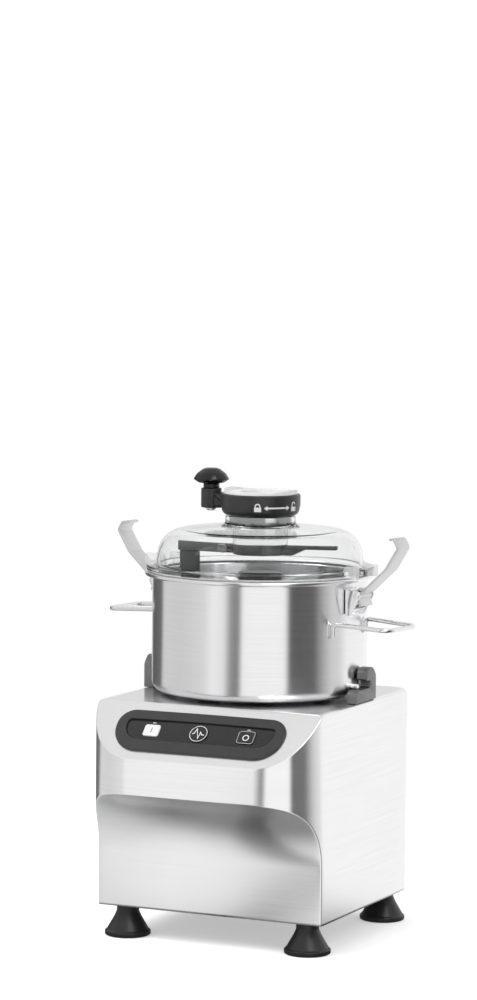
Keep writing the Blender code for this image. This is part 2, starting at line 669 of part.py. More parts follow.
for side in (-1.0, 1.0):
    spot = (side * (SHAFT_RADIUS - FLAT_DEPTH + 10.0), 0.0, shaft_top)
    flat_axis = axis(f"flat_axis_{side:+.0f}", turn=(0.0, 0.0, -65.0), parent=machine)
    block = box(f"flat_{side:+.0f}", (-10.0, -20.0, -FLATS_LENGTH), (10.0, 20.0, 10.0), None, flat_axis, spot)
    combine(drive_shaft, block, "DIFFERENCE")

# Control unit and run capacitor on the base plate
unit_x = half_width - 11.0
unit_low = (-unit_x, -60.0, plate_top + GAP)
box("control_unit", unit_low, (-unit_x + 34.0, 60.0, plate_top + 46.0), "dark plastic", machine)
capacitor_spot = (half_width - 35.0, -62.0, plate_top)
cylinder("run_capacitor", 20.0, GAP, 70.0, 20, "dark plastic", machine, capacitor_spot)

# Bowl with a tube over the shaft collar and a rim rolled outwards
bowl_axis = axis("bowl_axis", turn=(0.0, 0.0, -UNLOCK_ANGLE), parent=machine)
bowl_floor = bowl_low + BOWL_WALL
bowl = [(tube_bore, bowl_low, 0.0), (BOWL_RADIUS, bowl_low, BOWL_CORNER)]
bowl += [(BOWL_RADIUS, rim - RIM_THICKNESS, 3.0), (rim_radius, rim - RIM_THICKNESS, 1.5)]
bowl += [(rim_radius, rim, 1.3), (bowl_inner, rim, 1.3), (bowl_inner, bowl_floor, BOWL_CORNER - BOWL_WALL)]
bowl += [(tube_radius, bowl_floor, 4.0), (tube_radius, tube_top, 0.0), (tube_bore, tube_top, 0.0)]
turned("bowl", rounded(bowl), 36, "brushed steel", bowl_axis)

bowl_side = {
    "right": axis("bowl_right", parent=bowl_axis),
    "left": axis("bowl_left", turn=(0.0, 0.0, 180.0), parent=bowl_axis),
}

# Locking pins and bail handles
pin_start = BOWL_RADIUS + GAP
pin_end = hook_outer - 5.0
pin_shape = [(0.0, pin_start, 0.0), (PIN_RADIUS, pin_start, 0.0), (PIN_RADIUS, pin_end, 0.6), (0.0, pin_end, 0.0)]
handle_root = math.sqrt(BOWL_RADIUS**2 - HANDLE_HALF_SPAN**2) + HANDLE_ROD + 0.5
handle_high = rim - HANDLE_DROP
handle_end = BOWL_RADIUS + HANDLE_LENGTH
half_bail = [(handle_root, HANDLE_HALF_SPAN, handle_high - 14.0, 0.0)]
half_bail += [(handle_root, HANDLE_HALF_SPAN, handle_high, 5.0)]
half_bail += [(handle_end, HANDLE_HALF_SPAN - 3.0, handle_high - 3.5, 12.0)]
bail = half_bail + [(x, -y, z, radius) for x, y, z, radius in reversed(half_bail)]
for side, side_axis in bowl_side.items():
    spot = (0.0, 0.0, bowl_low + PIN_RISE)
    turned("bowl_pin_" + side, rounded(pin_shape), 12, "polished steel", side_axis, spot, (0.0, 90.0, 0.0))
    wire("handle_" + side, rounded(bail, closed=False), HANDLE_ROD, "polished steel", side_axis)

# Latches: a forked bracket on the bowl, a pin, and an arm that swings over the lid
pivot_r = BOWL_RADIUS + PIVOT_OUT
pivot_z = rim - PIVOT_DROP
cheek_inner = ARM_HALF_WIDTH + 0.5
cheek_outer = cheek_inner + CHEEK_THICKNESS
plate_edge = cheek_outer - 0.5
back_x = GAP - PIVOT_OUT
cheek = [(back_x + 1.0, -22.0, 0.0), (back_x + 7.0, -22.0, 0.0), (1.5, -6.0, 3.0), (5.0, 0.0, 2.0)]
cheek += [(3.0, 5.0, 2.0), (back_x + 1.0, 7.0, 0.0)]
arm_top = PIVOT_DROP + CROWN_RISE + 1.0
arm_tip = LID_CLEARANCE + BOWL_WALL - PIVOT_OUT - 22.6
arm_path = [(11.5, -3.0, 0.0), (0.0, 0.0, 5.0), (-6.8, 44.6, 6.0), (arm_tip + 18.0, arm_top, 7.0)]
arm_path += [(arm_tip, arm_top, 3.0), (arm_tip - 1.4, arm_top - 5.0, 0.0)]
for side, side_axis in bowl_side.items():
    pivot = axis("latch_pivot_" + side, (pivot_r, 0.0, pivot_z), parent=side_axis)
    plate_corner = (back_x, -plate_edge, -21.5)
    bracket = box(
        "latch_bracket_" + side, plate_corner, (back_x + 2.0, plate_edge, 6.0), "brushed steel", pivot
    )
    for start in (-cheek_outer, cheek_inner):
        cheek_name = f"cheek_{side}_{start:+.0f}"
        wall = flat(cheek_name, rounded(cheek), start, start + CHEEK_THICKNESS, parent=pivot, turn=UPRIGHT)
        combine(bracket, wall, "UNION")
    pin_hole = cylinder(
        "pivot_hole_" + side, PIVOT_PIN_RADIUS + GAP, -30.0, 30.0, 12, parent=pivot, turn=UPRIGHT
    )
    combine(bracket, pin_hole, "DIFFERENCE")
    stop_end = cheek_outer + 1.0
    stop_spot = (back_x + 5.6, 0.0, -16.0)
    stop_pin = cylinder("stop_pin_" + side, 1.8, -stop_end, stop_end, 12, None, pivot, stop_spot, UPRIGHT)
    combine(bracket, stop_pin, "UNION")
    pin_end = cheek_outer + 1.5
    cylinder(
        "latch_pin_" + side, PIVOT_PIN_RADIUS, -pin_end, pin_end, 12, "polished steel", pivot, turn=UPRIGHT
    )

    swing = axis("latch_swing_" + side, turn=(0.0, ARM_OPEN_ANGLE, 0.0), parent=pivot)
    path = rounded(arm_path, closed=False)
    arm = strap("latch_arm_" + side, path, ARM_HALF_WIDTH, ARM_THICKNESS, "brushed steel", swing, ORIGIN)
    knuckle_end = ARM_HALF_WIDTH - 0.01
    knuckle = cylinder("knuckle_" + side, 3.6, -knuckle_end, knuckle_end, 12, parent=swing, turn=UPRIGHT)
    arm_bore = cylinder(
        "arm_bore_" + side, PIVOT_PIN_RADIUS + RUNNING, -30.0, 30.0, 12, parent=swing, turn=UPRIGHT
    )
    combine(arm, knuckle, "UNION")
    combine(arm, arm_bore, "DIFFERENCE")

# Clear lid: skirt inside the bowl, flange over the rim, dome and neck, with a forked lug at each latch
skirt = bowl_inner - LID_CLEARANCE
flange_radius = rim_radius - FLANGE_INSET
flange_low = rim + LID_LIFT
flange_top = flange_low + FLANGE_THICKNESS
crown = rim + CROWN_RISE
dome_edge = skirt - DOME_LEAN
dome_top = rim + DOME_RISE
ledge = bush_radius - 2.2
lid = [(skirt - LID_WALL, rim - SKIRT_DEPTH, 0.0), (skirt, rim - SKIRT_DEPTH, 0.0), (skirt, flange_low, 0.0)]
lid += [(flange_radius, flange_low, 0.8), (flange_radius, flange_top, 1.0), (skirt - 0.8, flange_top, 0.0)]
lid += [(dome_edge, dome_top, DOME_FILLET), (neck_radius, crown, 5.0), (neck_radius, neck_top, 0.0)]
lid += [(bush_radius + GAP, neck_top, 0.0), (bush_radius + GAP, crown - 0.4, 0.0), (ledge, crown - 0.4, 0.0)]
lid += [(ledge, crown - LID_WALL, 0.0), (dome_edge - LID_WALL, dome_top - LID_WALL, DOME_FILLET - LID_WALL)]
lid += [(skirt - LID_WALL - 0.8, flange_top, 0.0)]
lid_dome = turned("lid_dome", rounded(lid), 32, "clear plastic", bowl_axis)
lug_in = ARM_HALF_WIDTH + 2.5
lug_out = lug_in + LUG_THICKNESS
lug = [(flange_radius - 3.0, lug_in, 0.0), (flange_radius + LUG_REACH, lug_in, 2.0)]
lug += [(flange_radius + LUG_REACH, lug_out, 2.0), (flange_radius - 5.0, lug_out, 0.0)]
lug_low = flange_low + 0.6
for side, side_axis in bowl_side.items():
    for hand, shape in (("front", rounded(lug)), ("back", mirrored(rounded(lug)))):
        ear = flat(f"lug_{side}_{hand}", shape, lug_low, lug_low + LUG_HEIGHT, parent=side_axis)
        combine(lid_dome, ear, "UNION")
seal_in = skirt + GAP
seal_out = rim_radius - 3.5
seal = [(seal_in, rim + GAP), (seal_out, rim + GAP), (seal_out, flange_low - GAP), (seal_in, flange_low - GAP)]
turned("lid_seal", seal, 32, "silicone", bowl_axis)
bush_low = crown - 0.4 + GAP
bush = [(BUSH_BORE, bush_low), (bush_radius, bush_low), (bush_radius, neck_top - GAP), (BUSH_BORE, neck_top - GAP)]
turned("neck_bush", bush, 24, "polished steel", bowl_axis)

# Crank ring on the neck, reaching down through the bush to carry the scraper
crank_axis = axis("crank_axis", turn=(0.0, 0.0, CRANK_ANGLE), parent=bowl_axis)
spigot_low = crank_low - SPIGOT_LENGTH
crank = [(feed_radius, spigot_low, 0.0), (spigot_radius, spigot_low, 0.0), (spigot_radius, crank_low, 0.0)]
crank += [(crank_radius - 2.0, crank_low, 1.5), (crank_radius, crank_low + 5.0, 1.5)]
crank += [(crank_radius, crank_top, 1.2), (feed_radius, crank_top, 0.0)]
crank_ring = turned("crank_ring", rounded(crank), 24, "dark plastic", crank_axis)
cap_radius = crank_radius - CAP_INSET
knob_r = cap_radius + 1.5 + KNOB_RADIUS
knob_axis = axis("knob_axis", (knob_r, 0.0, 0.0), parent=crank_axis)
web = box(
    "crank_web", (crank_radius - 6.0, -7.6, crank_low + 7.3), (knob_r, 7.6, crank_top - 1.5), None, crank_axis
)
boss_low = crank_low + 5.8
boss_top = crank_top + 4.0
stem_low = boss_low + 5.5
boss = [(0.0, boss_low, 0.0), (BOSS_RADIUS, boss_low, 1.3), (BOSS_RADIUS, boss_top, 1.0), (0.0, boss_top, 0.0)]
crank_boss = turned("crank_boss", rounded(boss), 20, parent=knob_axis)
stem_hole = cylinder("stem_hole", STEM_RADIUS + GAP, stem_low, boss_top + 10.0, 16, parent=knob_axis)
combine(crank_ring, web, "UNION")
combine(crank_ring, crank_boss, "UNION")
combine(crank_ring, stem_hole, "DIFFERENCE")

# Knob that turns on a stem
knob_low = boss_top + GAP
knob_top = knob_low + KNOB_HEIGHT
stem_top = knob_top - 8.4
cylinder("knob_stem", STEM_RADIUS, stem_low + GAP, stem_top, 16, "polished steel", knob_axis)
knob_bore = STEM_RADIUS + RUNNING
knob = [(0.0, stem_top + GAP, 0.0), (knob_bore, stem_top + GAP, 0.0), (knob_bore, knob_low, 0.0)]
knob += [(KNOB_NECK_RADIUS, knob_low, 0.0), (KNOB_NECK_RADIUS, knob_low + 6.2, 1.5)]
knob += [(KNOB_RADIUS, knob_low + 7.8, 2.0), (KNOB_RADIUS, knob_top - 0.8, 9.0), (0.0, knob_top, 0.0)]
turned("knob", rounded(knob), 18, "gloss black", knob_axis)

# Filler cap: a tray with a plug in the feed opening, its rim scooped front and back
cap_low = crank_top + GAP
cap_top = cap_low + CAP_RIM
plug = feed_radius - 0.5
plug_low = crank_top - PLUG_DEPTH
cap = [(0.0, plug_low), (plug - 1.0, plug_low), (plug, plug_low + 1.0), (plug, cap_low), (cap_radius, cap_low)]
cap += [(cap_radius, cap_top), (cap_radius - 1.8, cap_top), (cap_radius - 2.0, cap_low + CAP_FLOOR)]
cap += [(plug - 2.0, cap_low + CAP_FLOOR), (plug - 2.4, plug_low + 2.0), (0.0, plug_low + 2.0)]
filler_cap = turned("filler_cap", cap, 24, "white plastic", crank_axis)
scoop_spot = (0.0, 0.0, cap_low + CAP_FLOOR + 1.2 + SCOOP_RADIUS)
scoop = cylinder("cap_scoop", SCOOP_RADIUS, -60.0, 60.0, 36, None, crank_axis, scoop_spot, UPRIGHT)
combine(filler_cap, scoop, "DIFFERENCE")

# Scraper: a bar under the lid and a blade that sweeps the bowl's wall
bar_top = spigot_low - GAP
bar_low = bar_top - BAR_HEIGHT
bar_end = skirt - 13.1
tail_end = skirt - 21.6
eye = [(feed_radius - 5.0, bar_low), (spigot_radius - 0.5, bar_low)]
eye += [(spigot_radius - 0.5, bar_top), (feed_radius - 5.0, bar_top)]
scraper_arm = turned("scraper_arm", eye, 20, "dark plastic", crank_axis)
eye_middle = feed_radius - 2.0
bar_low_corner = (eye_middle, -BAR_HALF_WIDTH, bar_low)
bar = box("scraper_bar", bar_low_corner, (bar_end, BAR_HALF_WIDTH, bar_top), None, crank_axis)
root_low_corner = (-eye_middle - 16.0, -BAR_HALF_WIDTH, bar_low)
root = box("scraper_root", root_low_corner, (-eye_middle, BAR_HALF_WIDTH, bar_top), None, crank_axis)
tail_shape = [(-eye_middle - 1.0, 3.9), (-tail_end, 2.5), (-tail_end, -2.5), (-eye_middle - 1.0, -3.9)]
tail = flat("scraper_tail", tail_shape, bar_top - 4.6, bar_top - 0.05, parent=crank_axis)
combine(scraper_arm, bar, "UNION")
combine(scraper_arm, root, "UNION")
combine(scraper_arm, tail, "UNION")

# Blade unit: two sickle blades clamped above and below a steel ring, under a moulded hub
lower_low = bowl_floor + BLADE_FLOOR_GAP
hub_ring_low = lower_low + BLADE_THICKNESS + GAP
hub_ring_top = hub_ring_low + HUB_RING_HEIGHT
upper_low = hub_ring_top + GAP
hub_low = upper_low + BLADE_THICKNESS + GAP
blade_reach = bowl_inner - BLADE_WALL_GAP
blade_root = HUB_RING_RADIUS + 2.0


def swept(radius, angle):
    return Vector((radius * math.cos(math.radians(angle)), radius * math.sin(math.radians(angle)), 0.0))


def sickle():
    """A disc's edge, then a tapering arm whose cutting edge bows forward and whose back sweeps round to it."""
    outline = arc(0.0, 0.0, HUB_RING_RADIUS - 0.5, 38.0, 322.0, 16)
    for k in range(1, 9):
        share = k / 8.0
        angle = -30.0 - 4.0 * share + 12.0 * math.sin(math.pi * share)
        outline.append(swept(blade_root + (blade_reach - blade_root) * share, angle))
    for k in range(8, 0, -1):
        share = k / 8.0
        outline.append(swept(blade_root + (blade_reach - 2.0 - blade_root) * share, 26.0 - 51.0 * share**0.8))
    return outline


for name, low, angle in (("lower_blade", lower_low, 20.0), ("upper_blade", upper_low, 200.0)):
    turn = (0.0, 0.0, angle)
    blade = flat(name, sickle(), low, low + BLADE_THICKNESS, "blade steel", machine, turn=turn)
    blade_bore = cylinder(name + "_bore", hub_bore, low - 5.0, low + 10.0, 20, parent=machine)
    combine(blade, blade_bore, "DIFFERENCE")
ring = [(hub_bore, hub_ring_low), (HUB_RING_RADIUS, hub_ring_low)]
ring += [(HUB_RING_RADIUS, hub_ring_top), (hub_bore, hub_ring_top)]
turned("hub_ring", ring, 24, "polished steel", machine)
hub_roof = shaft_top + 1.4
hub_top = hub_roof + HUB_CAP
shaft_fit = SHAFT_RADIUS + RUNNING
tube_clear = tube_top + 2.0
shoulder = tube_top + 22.5
foot_radius = HUB_RING_RADIUS + 1.3
barrel = hub_bore + 6.5
stalk = SHAFT_RADIUS + 4.7
hub = [(0.0, hub_roof, 0.0), (shaft_fit, hub_roof, 0.0), (shaft_fit, tube_clear, 0.0), (hub_bore, tube_clear, 0.0)]
hub += [(hub_bore, hub_low, 0.0), (foot_radius, hub_low, 1.0), (foot_radius, hub_low + 17.5, 3.0)]
hub += [(barrel, hub_low + 20.5, 5.0), (barrel - 1.5, shoulder, 2.0), (stalk, shoulder + 6.5, 3.0)]
hub += [(stalk, hub_top - 8.4, 1.0), (stalk + 11.0, hub_top - 8.4, 1.0), (stalk + 11.0, hub_top, 1.2)]
hub += [(0.0, hub_top, 0.0)]
turned("blade_hub", rounded(hub), 20, "dark plastic", machine)

# Scraper blade, ending well above the upper knife, and the bolt that holds the bar's eye
scraper_reach = bowl_inner - 3.0
blade_inner = scraper_reach - SCRAPER_WIDTH
head_outer = skirt - 11.1
scraper_low = upper_low + BLADE_THICKNESS + 13.2
step = rim - SKIRT_DEPTH - 3.5
outline = [(81.0, bar_top - 1.2), (81.0, rim - 17.0), (blade_inner, rim - 23.0), (blade_inner, scraper_low)]
outline += [(scraper_reach, scraper_low), (scraper_reach, step), (head_outer, step + 1.5), (head_outer, bar_top - 1.2)]
face = BAR_HALF_WIDTH + GAP
flat("scraper_blade", outline, face, face + SCRAPER_THICKNESS, "dark plastic", crank_axis, turn=UPRIGHT)
bolt_spot = (spigot_radius + 13.4, face, (bar_low + bar_top) / 2.0)
bolt = [(0.0, 0.0, 0.0), (6.5, 0.0, 0.0), (6.5, 4.4, 0.9), (0.0, 4.4, 0.0)]
turned("scraper_bolt", rounded(bolt), 16, "grey metal", crank_axis, bolt_spot, (-90.0, 0.0, 0.0))
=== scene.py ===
# Dresses the meat bowl cutter: fine surfaces, finishes, a studio and the camera of the product view.
# Shapes are worked out in millimetres about the shaft, with heights from the floor.
import math

import bpy
import numpy as np
from mathutils import Matrix, Vector


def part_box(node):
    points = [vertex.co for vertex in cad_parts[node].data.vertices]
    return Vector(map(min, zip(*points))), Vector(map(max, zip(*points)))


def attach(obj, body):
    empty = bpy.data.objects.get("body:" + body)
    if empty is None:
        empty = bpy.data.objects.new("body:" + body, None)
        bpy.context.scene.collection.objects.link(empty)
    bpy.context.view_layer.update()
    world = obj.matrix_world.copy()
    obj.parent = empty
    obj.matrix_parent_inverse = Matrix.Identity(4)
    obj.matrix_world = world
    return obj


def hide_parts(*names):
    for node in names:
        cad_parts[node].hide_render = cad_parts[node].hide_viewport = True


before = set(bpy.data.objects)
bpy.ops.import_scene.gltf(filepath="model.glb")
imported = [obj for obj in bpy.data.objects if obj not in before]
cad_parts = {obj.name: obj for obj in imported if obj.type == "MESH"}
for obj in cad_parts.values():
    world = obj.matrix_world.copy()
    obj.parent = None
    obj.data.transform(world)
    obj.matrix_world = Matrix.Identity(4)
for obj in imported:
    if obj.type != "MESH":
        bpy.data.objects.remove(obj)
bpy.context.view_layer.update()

mm = 0.001
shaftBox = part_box("drive_shaft")
shaftY = (shaftBox[0].y + shaftBox[1].y) / 2.0 / mm
finishes = {}


def span(node):  # lowest and highest corner of a CAD node, in millimetres about the shaft
    low, high = (np.array(corner) / mm - (0.0, shaftY, 0.0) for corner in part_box(node))
    return low, high


bowlLow, bowlHigh = span("bowl")
bodyLow, bodyHigh = span("base_housing")
rim = bowlHigh[2]
top = bodyHigh[2]
rimRadius = bowlHigh[0]
halfWidth = bodyHigh[0]
crankTurn = 177.0
bowlTurn = -8.0
standing = (90.0, 0.0, 0.0)  # an outline's second direction becomes height
sideways = (90.0, 0.0, 90.0)  # the same, and its first direction becomes Y


# Lines, outlines and grids


def unit(vectors):  # each row divided by its length
    return vectors / np.maximum(np.linalg.norm(vectors, axis=-1, keepdims=True), 1e-9)


# Every corner becomes an arc: centre + (sin((1-t)w) start + sin(tw) stop) / sin(w), with w the angle swept.
# A corner is (x, y, radius) or (x, y, z, radius).
def bend(corners, steps=6, closed=False):
    corners = np.asarray(corners, float)
    spots, radii = corners[:, :-1], corners[:, -1].copy()
    if not closed:
        radii[[0, -1]] = 0.0
    before = unit(np.roll(spots, 1, 0) - spots)
    after = unit(np.roll(spots, -1, 0) - spots)
    half = np.arccos(np.clip((before * after).sum(1), -1.0, 1.0)) / 2.0
    half = np.clip(half, 0.01, math.pi / 2.0 - 0.0005)
    centre = spots + unit(before + after) * (radii / np.sin(half))[:, None]
    reach = (radii / np.tan(half))[:, None]
    start = spots + before * reach - centre
    stop = spots + after * reach - centre
    sweep = (math.pi - 2.0 * half)[:, None, None]
    share = np.linspace(0.0, 1.0, steps + 1)[None, :, None]
    spokes = np.sin((1.0 - share) * sweep) * start[:, None] + np.sin(share * sweep) * stop[:, None]
    points = (centre[:, None] + spokes / np.sin(sweep)).reshape(-1, spots.shape[1])
    gaps = np.linalg.norm(points - np.roll(points, 1, 0), axis=1)
    keep = gaps > 0.0005
    keep[0] = keep[0] or not closed
    return points[keep]


# Points at even steps of length along a line.
def spread(line, count, closed=False):
    line = np.vstack((line, line[:1])) if closed else line
    lengths = np.concatenate(([0.0], np.cumsum(np.linalg.norm(np.diff(line, axis=0), axis=1))))
    wanted = np.linspace(0.0, lengths[-1], count, endpoint=not closed)
    return np.stack([np.interp(wanted, lengths, line[:, k]) for k in range(line.shape[1])], axis=1)


# A closed outline moved outwards: each point goes along the mean of its two edge normals, lengthened by the mitre.
def grow(outline, distance):
    ahead = unit(np.roll(outline, -1, 0) - outline)
    back = np.roll(ahead, 1, 0)
    middle = unit(np.stack((ahead[:, 1] + back[:, 1], -ahead[:, 0] - back[:, 0]), axis=1))
    mitre = np.maximum(middle[:, 0] * ahead[:, 1] - middle[:, 1] * ahead[:, 0], 0.5)
    x, y = outline.T
    area = (x * np.roll(y, -1) - np.roll(x, -1) * y).sum()
    return outline + middle * (distance * math.copysign(1.0, area) / mitre)[:, None]


def ring(radius, count):  # a circle as an outline
    angles = np.linspace(0.0, 2.0 * math.pi, count, endpoint=False)
    return np.stack((radius * np.cos(angles), radius * np.sin(angles)), axis=1)


# Faces between neighbouring rows of a grid: (i, j), (i, j+1), (i+1, j+1), (i+1, j), and a lid at each open end.
def skin(rows, around=True, along=False, lids=True):
    count, across = rows.shape[:2]
    i, j = np.meshgrid(
        np.arange(count if along else count - 1), np.arange(across if around else across - 1), indexing="ij"
    )
    here, there = i * across, ((i + 1) % count) * across
    nextJ = (j + 1) % across
    quads = np.stack((here + j, here + nextJ, there + nextJ, there + j), axis=-1).reshape(-1, 4)
    faces = quads.tolist()
    if lids and not along:
        faces.append(list(range(across))[::-1])
        faces.append(list(range((count - 1) * across, count * across)))
    return rows.reshape(-1, 3), faces


# A profile of (radius, height) carried round the axis, listed up its outer side.
def lathe(profile, count=96, along=False, lids=True):
    profile = np.asarray(profile, float)
    angles = np.linspace(0.0, 2.0 * math.pi, count, endpoint=False)
    radius = profile[:, :1]
    height = np.broadcast_to(profile[:, 1:], (len(profile), count))
    return skin(np.stack((radius * np.cos(angles), radius * np.sin(angles), height), axis=-1), True, along, lids)


# An outline raised from low to high, its two rims rounded by a quarter circle of the edge radius.
def slab(outline, low, high, edge=0.5, steps=3):
    x, y = outline.T
    if (x * np.roll(y, -1) - np.roll(x, -1) * y).sum() < 0.0:
        outline = outline[::-1]
    turn = np.linspace(0.0, math.pi / 2.0, steps + 1)
    inset = np.concatenate((edge * (1.0 - np.sin(turn)), edge * (1.0 - np.cos(turn))))
    level = np.concatenate((low + edge * (1.0 - np.cos(turn)), high - edge * (1.0 - np.sin(turn))))
    rows = np.stack([np.column_stack((grow(outline, -d), np.full(len(outline), z))) for d, z in zip(inset, level)])
    return skin(rows)


# A circle carried along a line; its first spoke is a fixed direction made square to the line.
def tube(path, radius, sides=20, guide=(0.58, 0.57, 0.58)):
    ahead = unit(np.gradient(path, axis=0))
    spoke = unit(np.cross(ahead, guide))
    other = np.cross(ahead, spoke)
    angles = np.linspace(0.0, 2.0 * math.pi, sides, endpoint=False)[None, :, None]
    rows = path[:, None] + radius * (np.cos(angles) * spoke[:, None] + np.sin(angles) * other[:, None])
    return skin(rows)


# A flat line of some width, given as half widths along it, raised from low to high; corners get mitres.
def ribbon(line, half, low, high, closed=False):
    line = np.asarray(line, float)
    half = np.broadcast_to(np.asarray(half, float), len(line))
    if closed:
        ahead = unit(np.roll(line, -1, 0) - line)
        back = np.roll(ahead, 1, 0)
    else:
        step = unit(np.diff(line, axis=0))
        ahead = np.vstack((step, step[-1:]))
        back = np.vstack((step[:1], step))
    side = unit(np.stack((-(ahead + back)[:, 1], (ahead + back)[:, 0]), axis=1))
    mitre = np.maximum(side[:, 1] * ahead[:, 0] - side[:, 0] * ahead[:, 1], 0.4)
    reach = side * (half / mitre)[:, None]
    left, right = line + reach, line - reach
    rows = np.stack([
        np.column_stack((edge, np.full(len(line), level)))
        for edge, level in ((right, low), (right, high), (left, high), (left, low))
    ], axis=1)[:, ::-1]
    return skin(rows, True, closed)


def turnMatrix(turn):  # turns about X, Y and Z in degrees, X first
    x, y, z = (Matrix.Rotation(math.radians(a), 3, axis) for a, axis in zip(turn, "XYZ"))
    return np.array(z @ y @ x)


def moved(shell, at=(0.0, 0.0, 0.0), turn=(0.0, 0.0, 0.0)):
    points, faces = shell
    return points @ turnMatrix(turn).T + np.asarray(at, float), faces


def turned(shell, angle):  # about the shaft
    return moved(shell, turn=(0.0, 0.0, angle))


def addPiece(name, shells, finish, body, nodes=(), sharp=32.0):
    points, faces, start = [], [], 0
    for shell, polygons in shells:
        points.append(shell)
        faces += [[corner + start for corner in polygon] for polygon in polygons]
        start += len(shell)
    spots = (np.vstack(points) + (0.0, shaftY, 0.0)) * mm
    mesh = bpy.data.meshes.new(name)
    mesh.from_pydata(spots.tolist(), [], faces)
    mesh.validate()
    mesh.shade_smooth()
    mesh.set_sharp_from_angle(angle=math.radians(sharp))
    mesh.materials.append(finishes[finish])
    piece = bpy.data.objects.new(name, mesh)
    bpy.context.scene.collection.objects.link(piece)
    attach(piece, body)
    if nodes:
        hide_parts(*nodes)
    return piece


# Finishes


def newFinish(name, colour, **sockets):
    material = bpy.data.materials.new(name)
    material.use_nodes = True
    shader = material.node_tree.nodes["Principled BSDF"]
    shader.inputs["Base Color"].default_value = (*colour, 1.0)
    for socket, value in sockets.items():
        shader.inputs[socket.replace("_", " ")].default_value = value
    finishes[name] = material
    return material.node_tree, shader


def addNode(tree, kind, values=None, **settings):
    made = tree.nodes.new("ShaderNode" + kind)
    for key, value in settings.items():
        setattr(made, key, value)
    for key, value in (values or {}).items():
        if isinstance(value, bpy.types.NodeSocket):
            tree.links.new(value, made.inputs[key])
        else:
            made.inputs[key].default_value = value
    return made


def spread01(tree, value, low, high):  # a noise value of 0.3 to 0.7 stretched between two numbers
    made = addNode(tree, "MapRange", {0: value, 1: 0.3, 2: 0.7, 3: low, 4: high})
    return made.outputs[0]


def noise(tree, coordinates, scale, detail=3.0, stretch=(1.0, 1.0, 1.0)):
    mapping = addNode(tree, "Mapping", {"Vector": coordinates, "Scale": stretch})
    made = addNode(tree, "TexNoise", {"Vector": mapping.outputs[0], "Scale": scale, "Detail": detail})
    return made.outputs[0]


def mixColours(tree, share, first, second):
    return addNode(tree, "Mix", {0: share, 6: first, 7: second}, data_type="RGBA").outputs[2]


def tint(tree, shader, value, dark, light):  # base colour between two greys or colours
    made = addNode(tree, "MapRange", {0: value, 1: 0.3, 2: 0.7}, clamp=True)
    colour = mixColours(tree, made.outputs[0], (*dark, 1.0), (*light, 1.0))
    tree.links.new(colour, shader.inputs["Base Color"])


def bump(tree, shader, value, strength, distance):
    made = addNode(tree, "Bump", {"Height": value, "Strength": strength, "Distance": distance})
    tree.links.new(made.outputs[0], shader.inputs["Normal"])


brushSettings = {"fine": 2400.0, "broad": 620.0, "along": 9.0}


# Brushed sheet: streaks that run level on upright faces and along X on flat ones, finer across than along.
def brushedFinish(name, dark, light, roughness, anisotropy, depth=0.00001, fine=1.0, metal=1.0):
    tree, shader = newFinish(name, light, Metallic=metal, Anisotropic=anisotropy, Anisotropic_Rotation=0.25)
    place = addNode(tree, "TexCoord").outputs["Object"]
    normal = addNode(tree, "NewGeometry").outputs["Normal"]
    along, broad = brushSettings["along"], brushSettings["broad"] * fine
    upright = noise(tree, place, 1.0, 4.0, (along, along, broad))
    level = noise(tree, place, 1.0, 4.0, (along, broad, along))
    height = addNode(tree, "SeparateXYZ", {0: normal}).outputs[2]
    flat = addNode(tree, "Math", {0: height}, operation="ABSOLUTE").outputs[0]
    share = addNode(tree, "MapRange", {0: flat, 1: 0.75, 2: 0.95}).outputs[0]
    streak = addNode(tree, "Mix", {0: share, 2: upright, 3: level}).outputs[0]
    sharpStreak = noise(tree, place, 1.0, 2.0, (along, along, brushSettings["fine"] * fine))
    both = addNode(tree, "Mix", {0: 0.35, 2: streak, 3: sharpStreak}).outputs[0]
    cloud = noise(tree, place, 9.0, 2.0)
    tint(tree, shader, addNode(tree, "Mix", {0: 0.3, 2: both, 3: cloud}).outputs[0], dark, light)
    tree.links.new(spread01(tree, both, roughness - 0.02, roughness + 0.03), shader.inputs["Roughness"])
    level = addNode(tree, "VectorMath", {0: normal, 1: (0.001, 0.02, 1.0)}, operation="CROSS_PRODUCT")
    level = addNode(tree, "VectorMath", {0: level.outputs[0]}, operation="NORMALIZE")
    tree.links.new(level.outputs[0], shader.inputs["Tangent"])
    bump(tree, shader, both, 0.15, depth)
    return tree, shader


# Mouldings, castings and polished parts: two noises for colour, roughness and a faint relief.
def grainFinish(name, dark, light, roughness, scale, relief, strength=0.3, **sockets):
    tree, shader = newFinish(name, light, **sockets)
    place = addNode(tree, "TexCoord").outputs["Object"]
    fine = noise(tree, place, scale, 4.0)
    broad = noise(tree, place, scale / 18.0, 2.0)
    mixed = addNode(tree, "Mix", {0: 0.5, 2: fine, 3: broad}).outputs[0]
    tint(tree, shader, mixed, dark, light)
    tree.links.new(spread01(tree, mixed, roughness * 0.85, roughness * 1.15), shader.inputs["Roughness"])
    bump(tree, shader, fine, strength, relief)
    return tree, shader


def grey(value):
    return (value, value, value * 1.01)


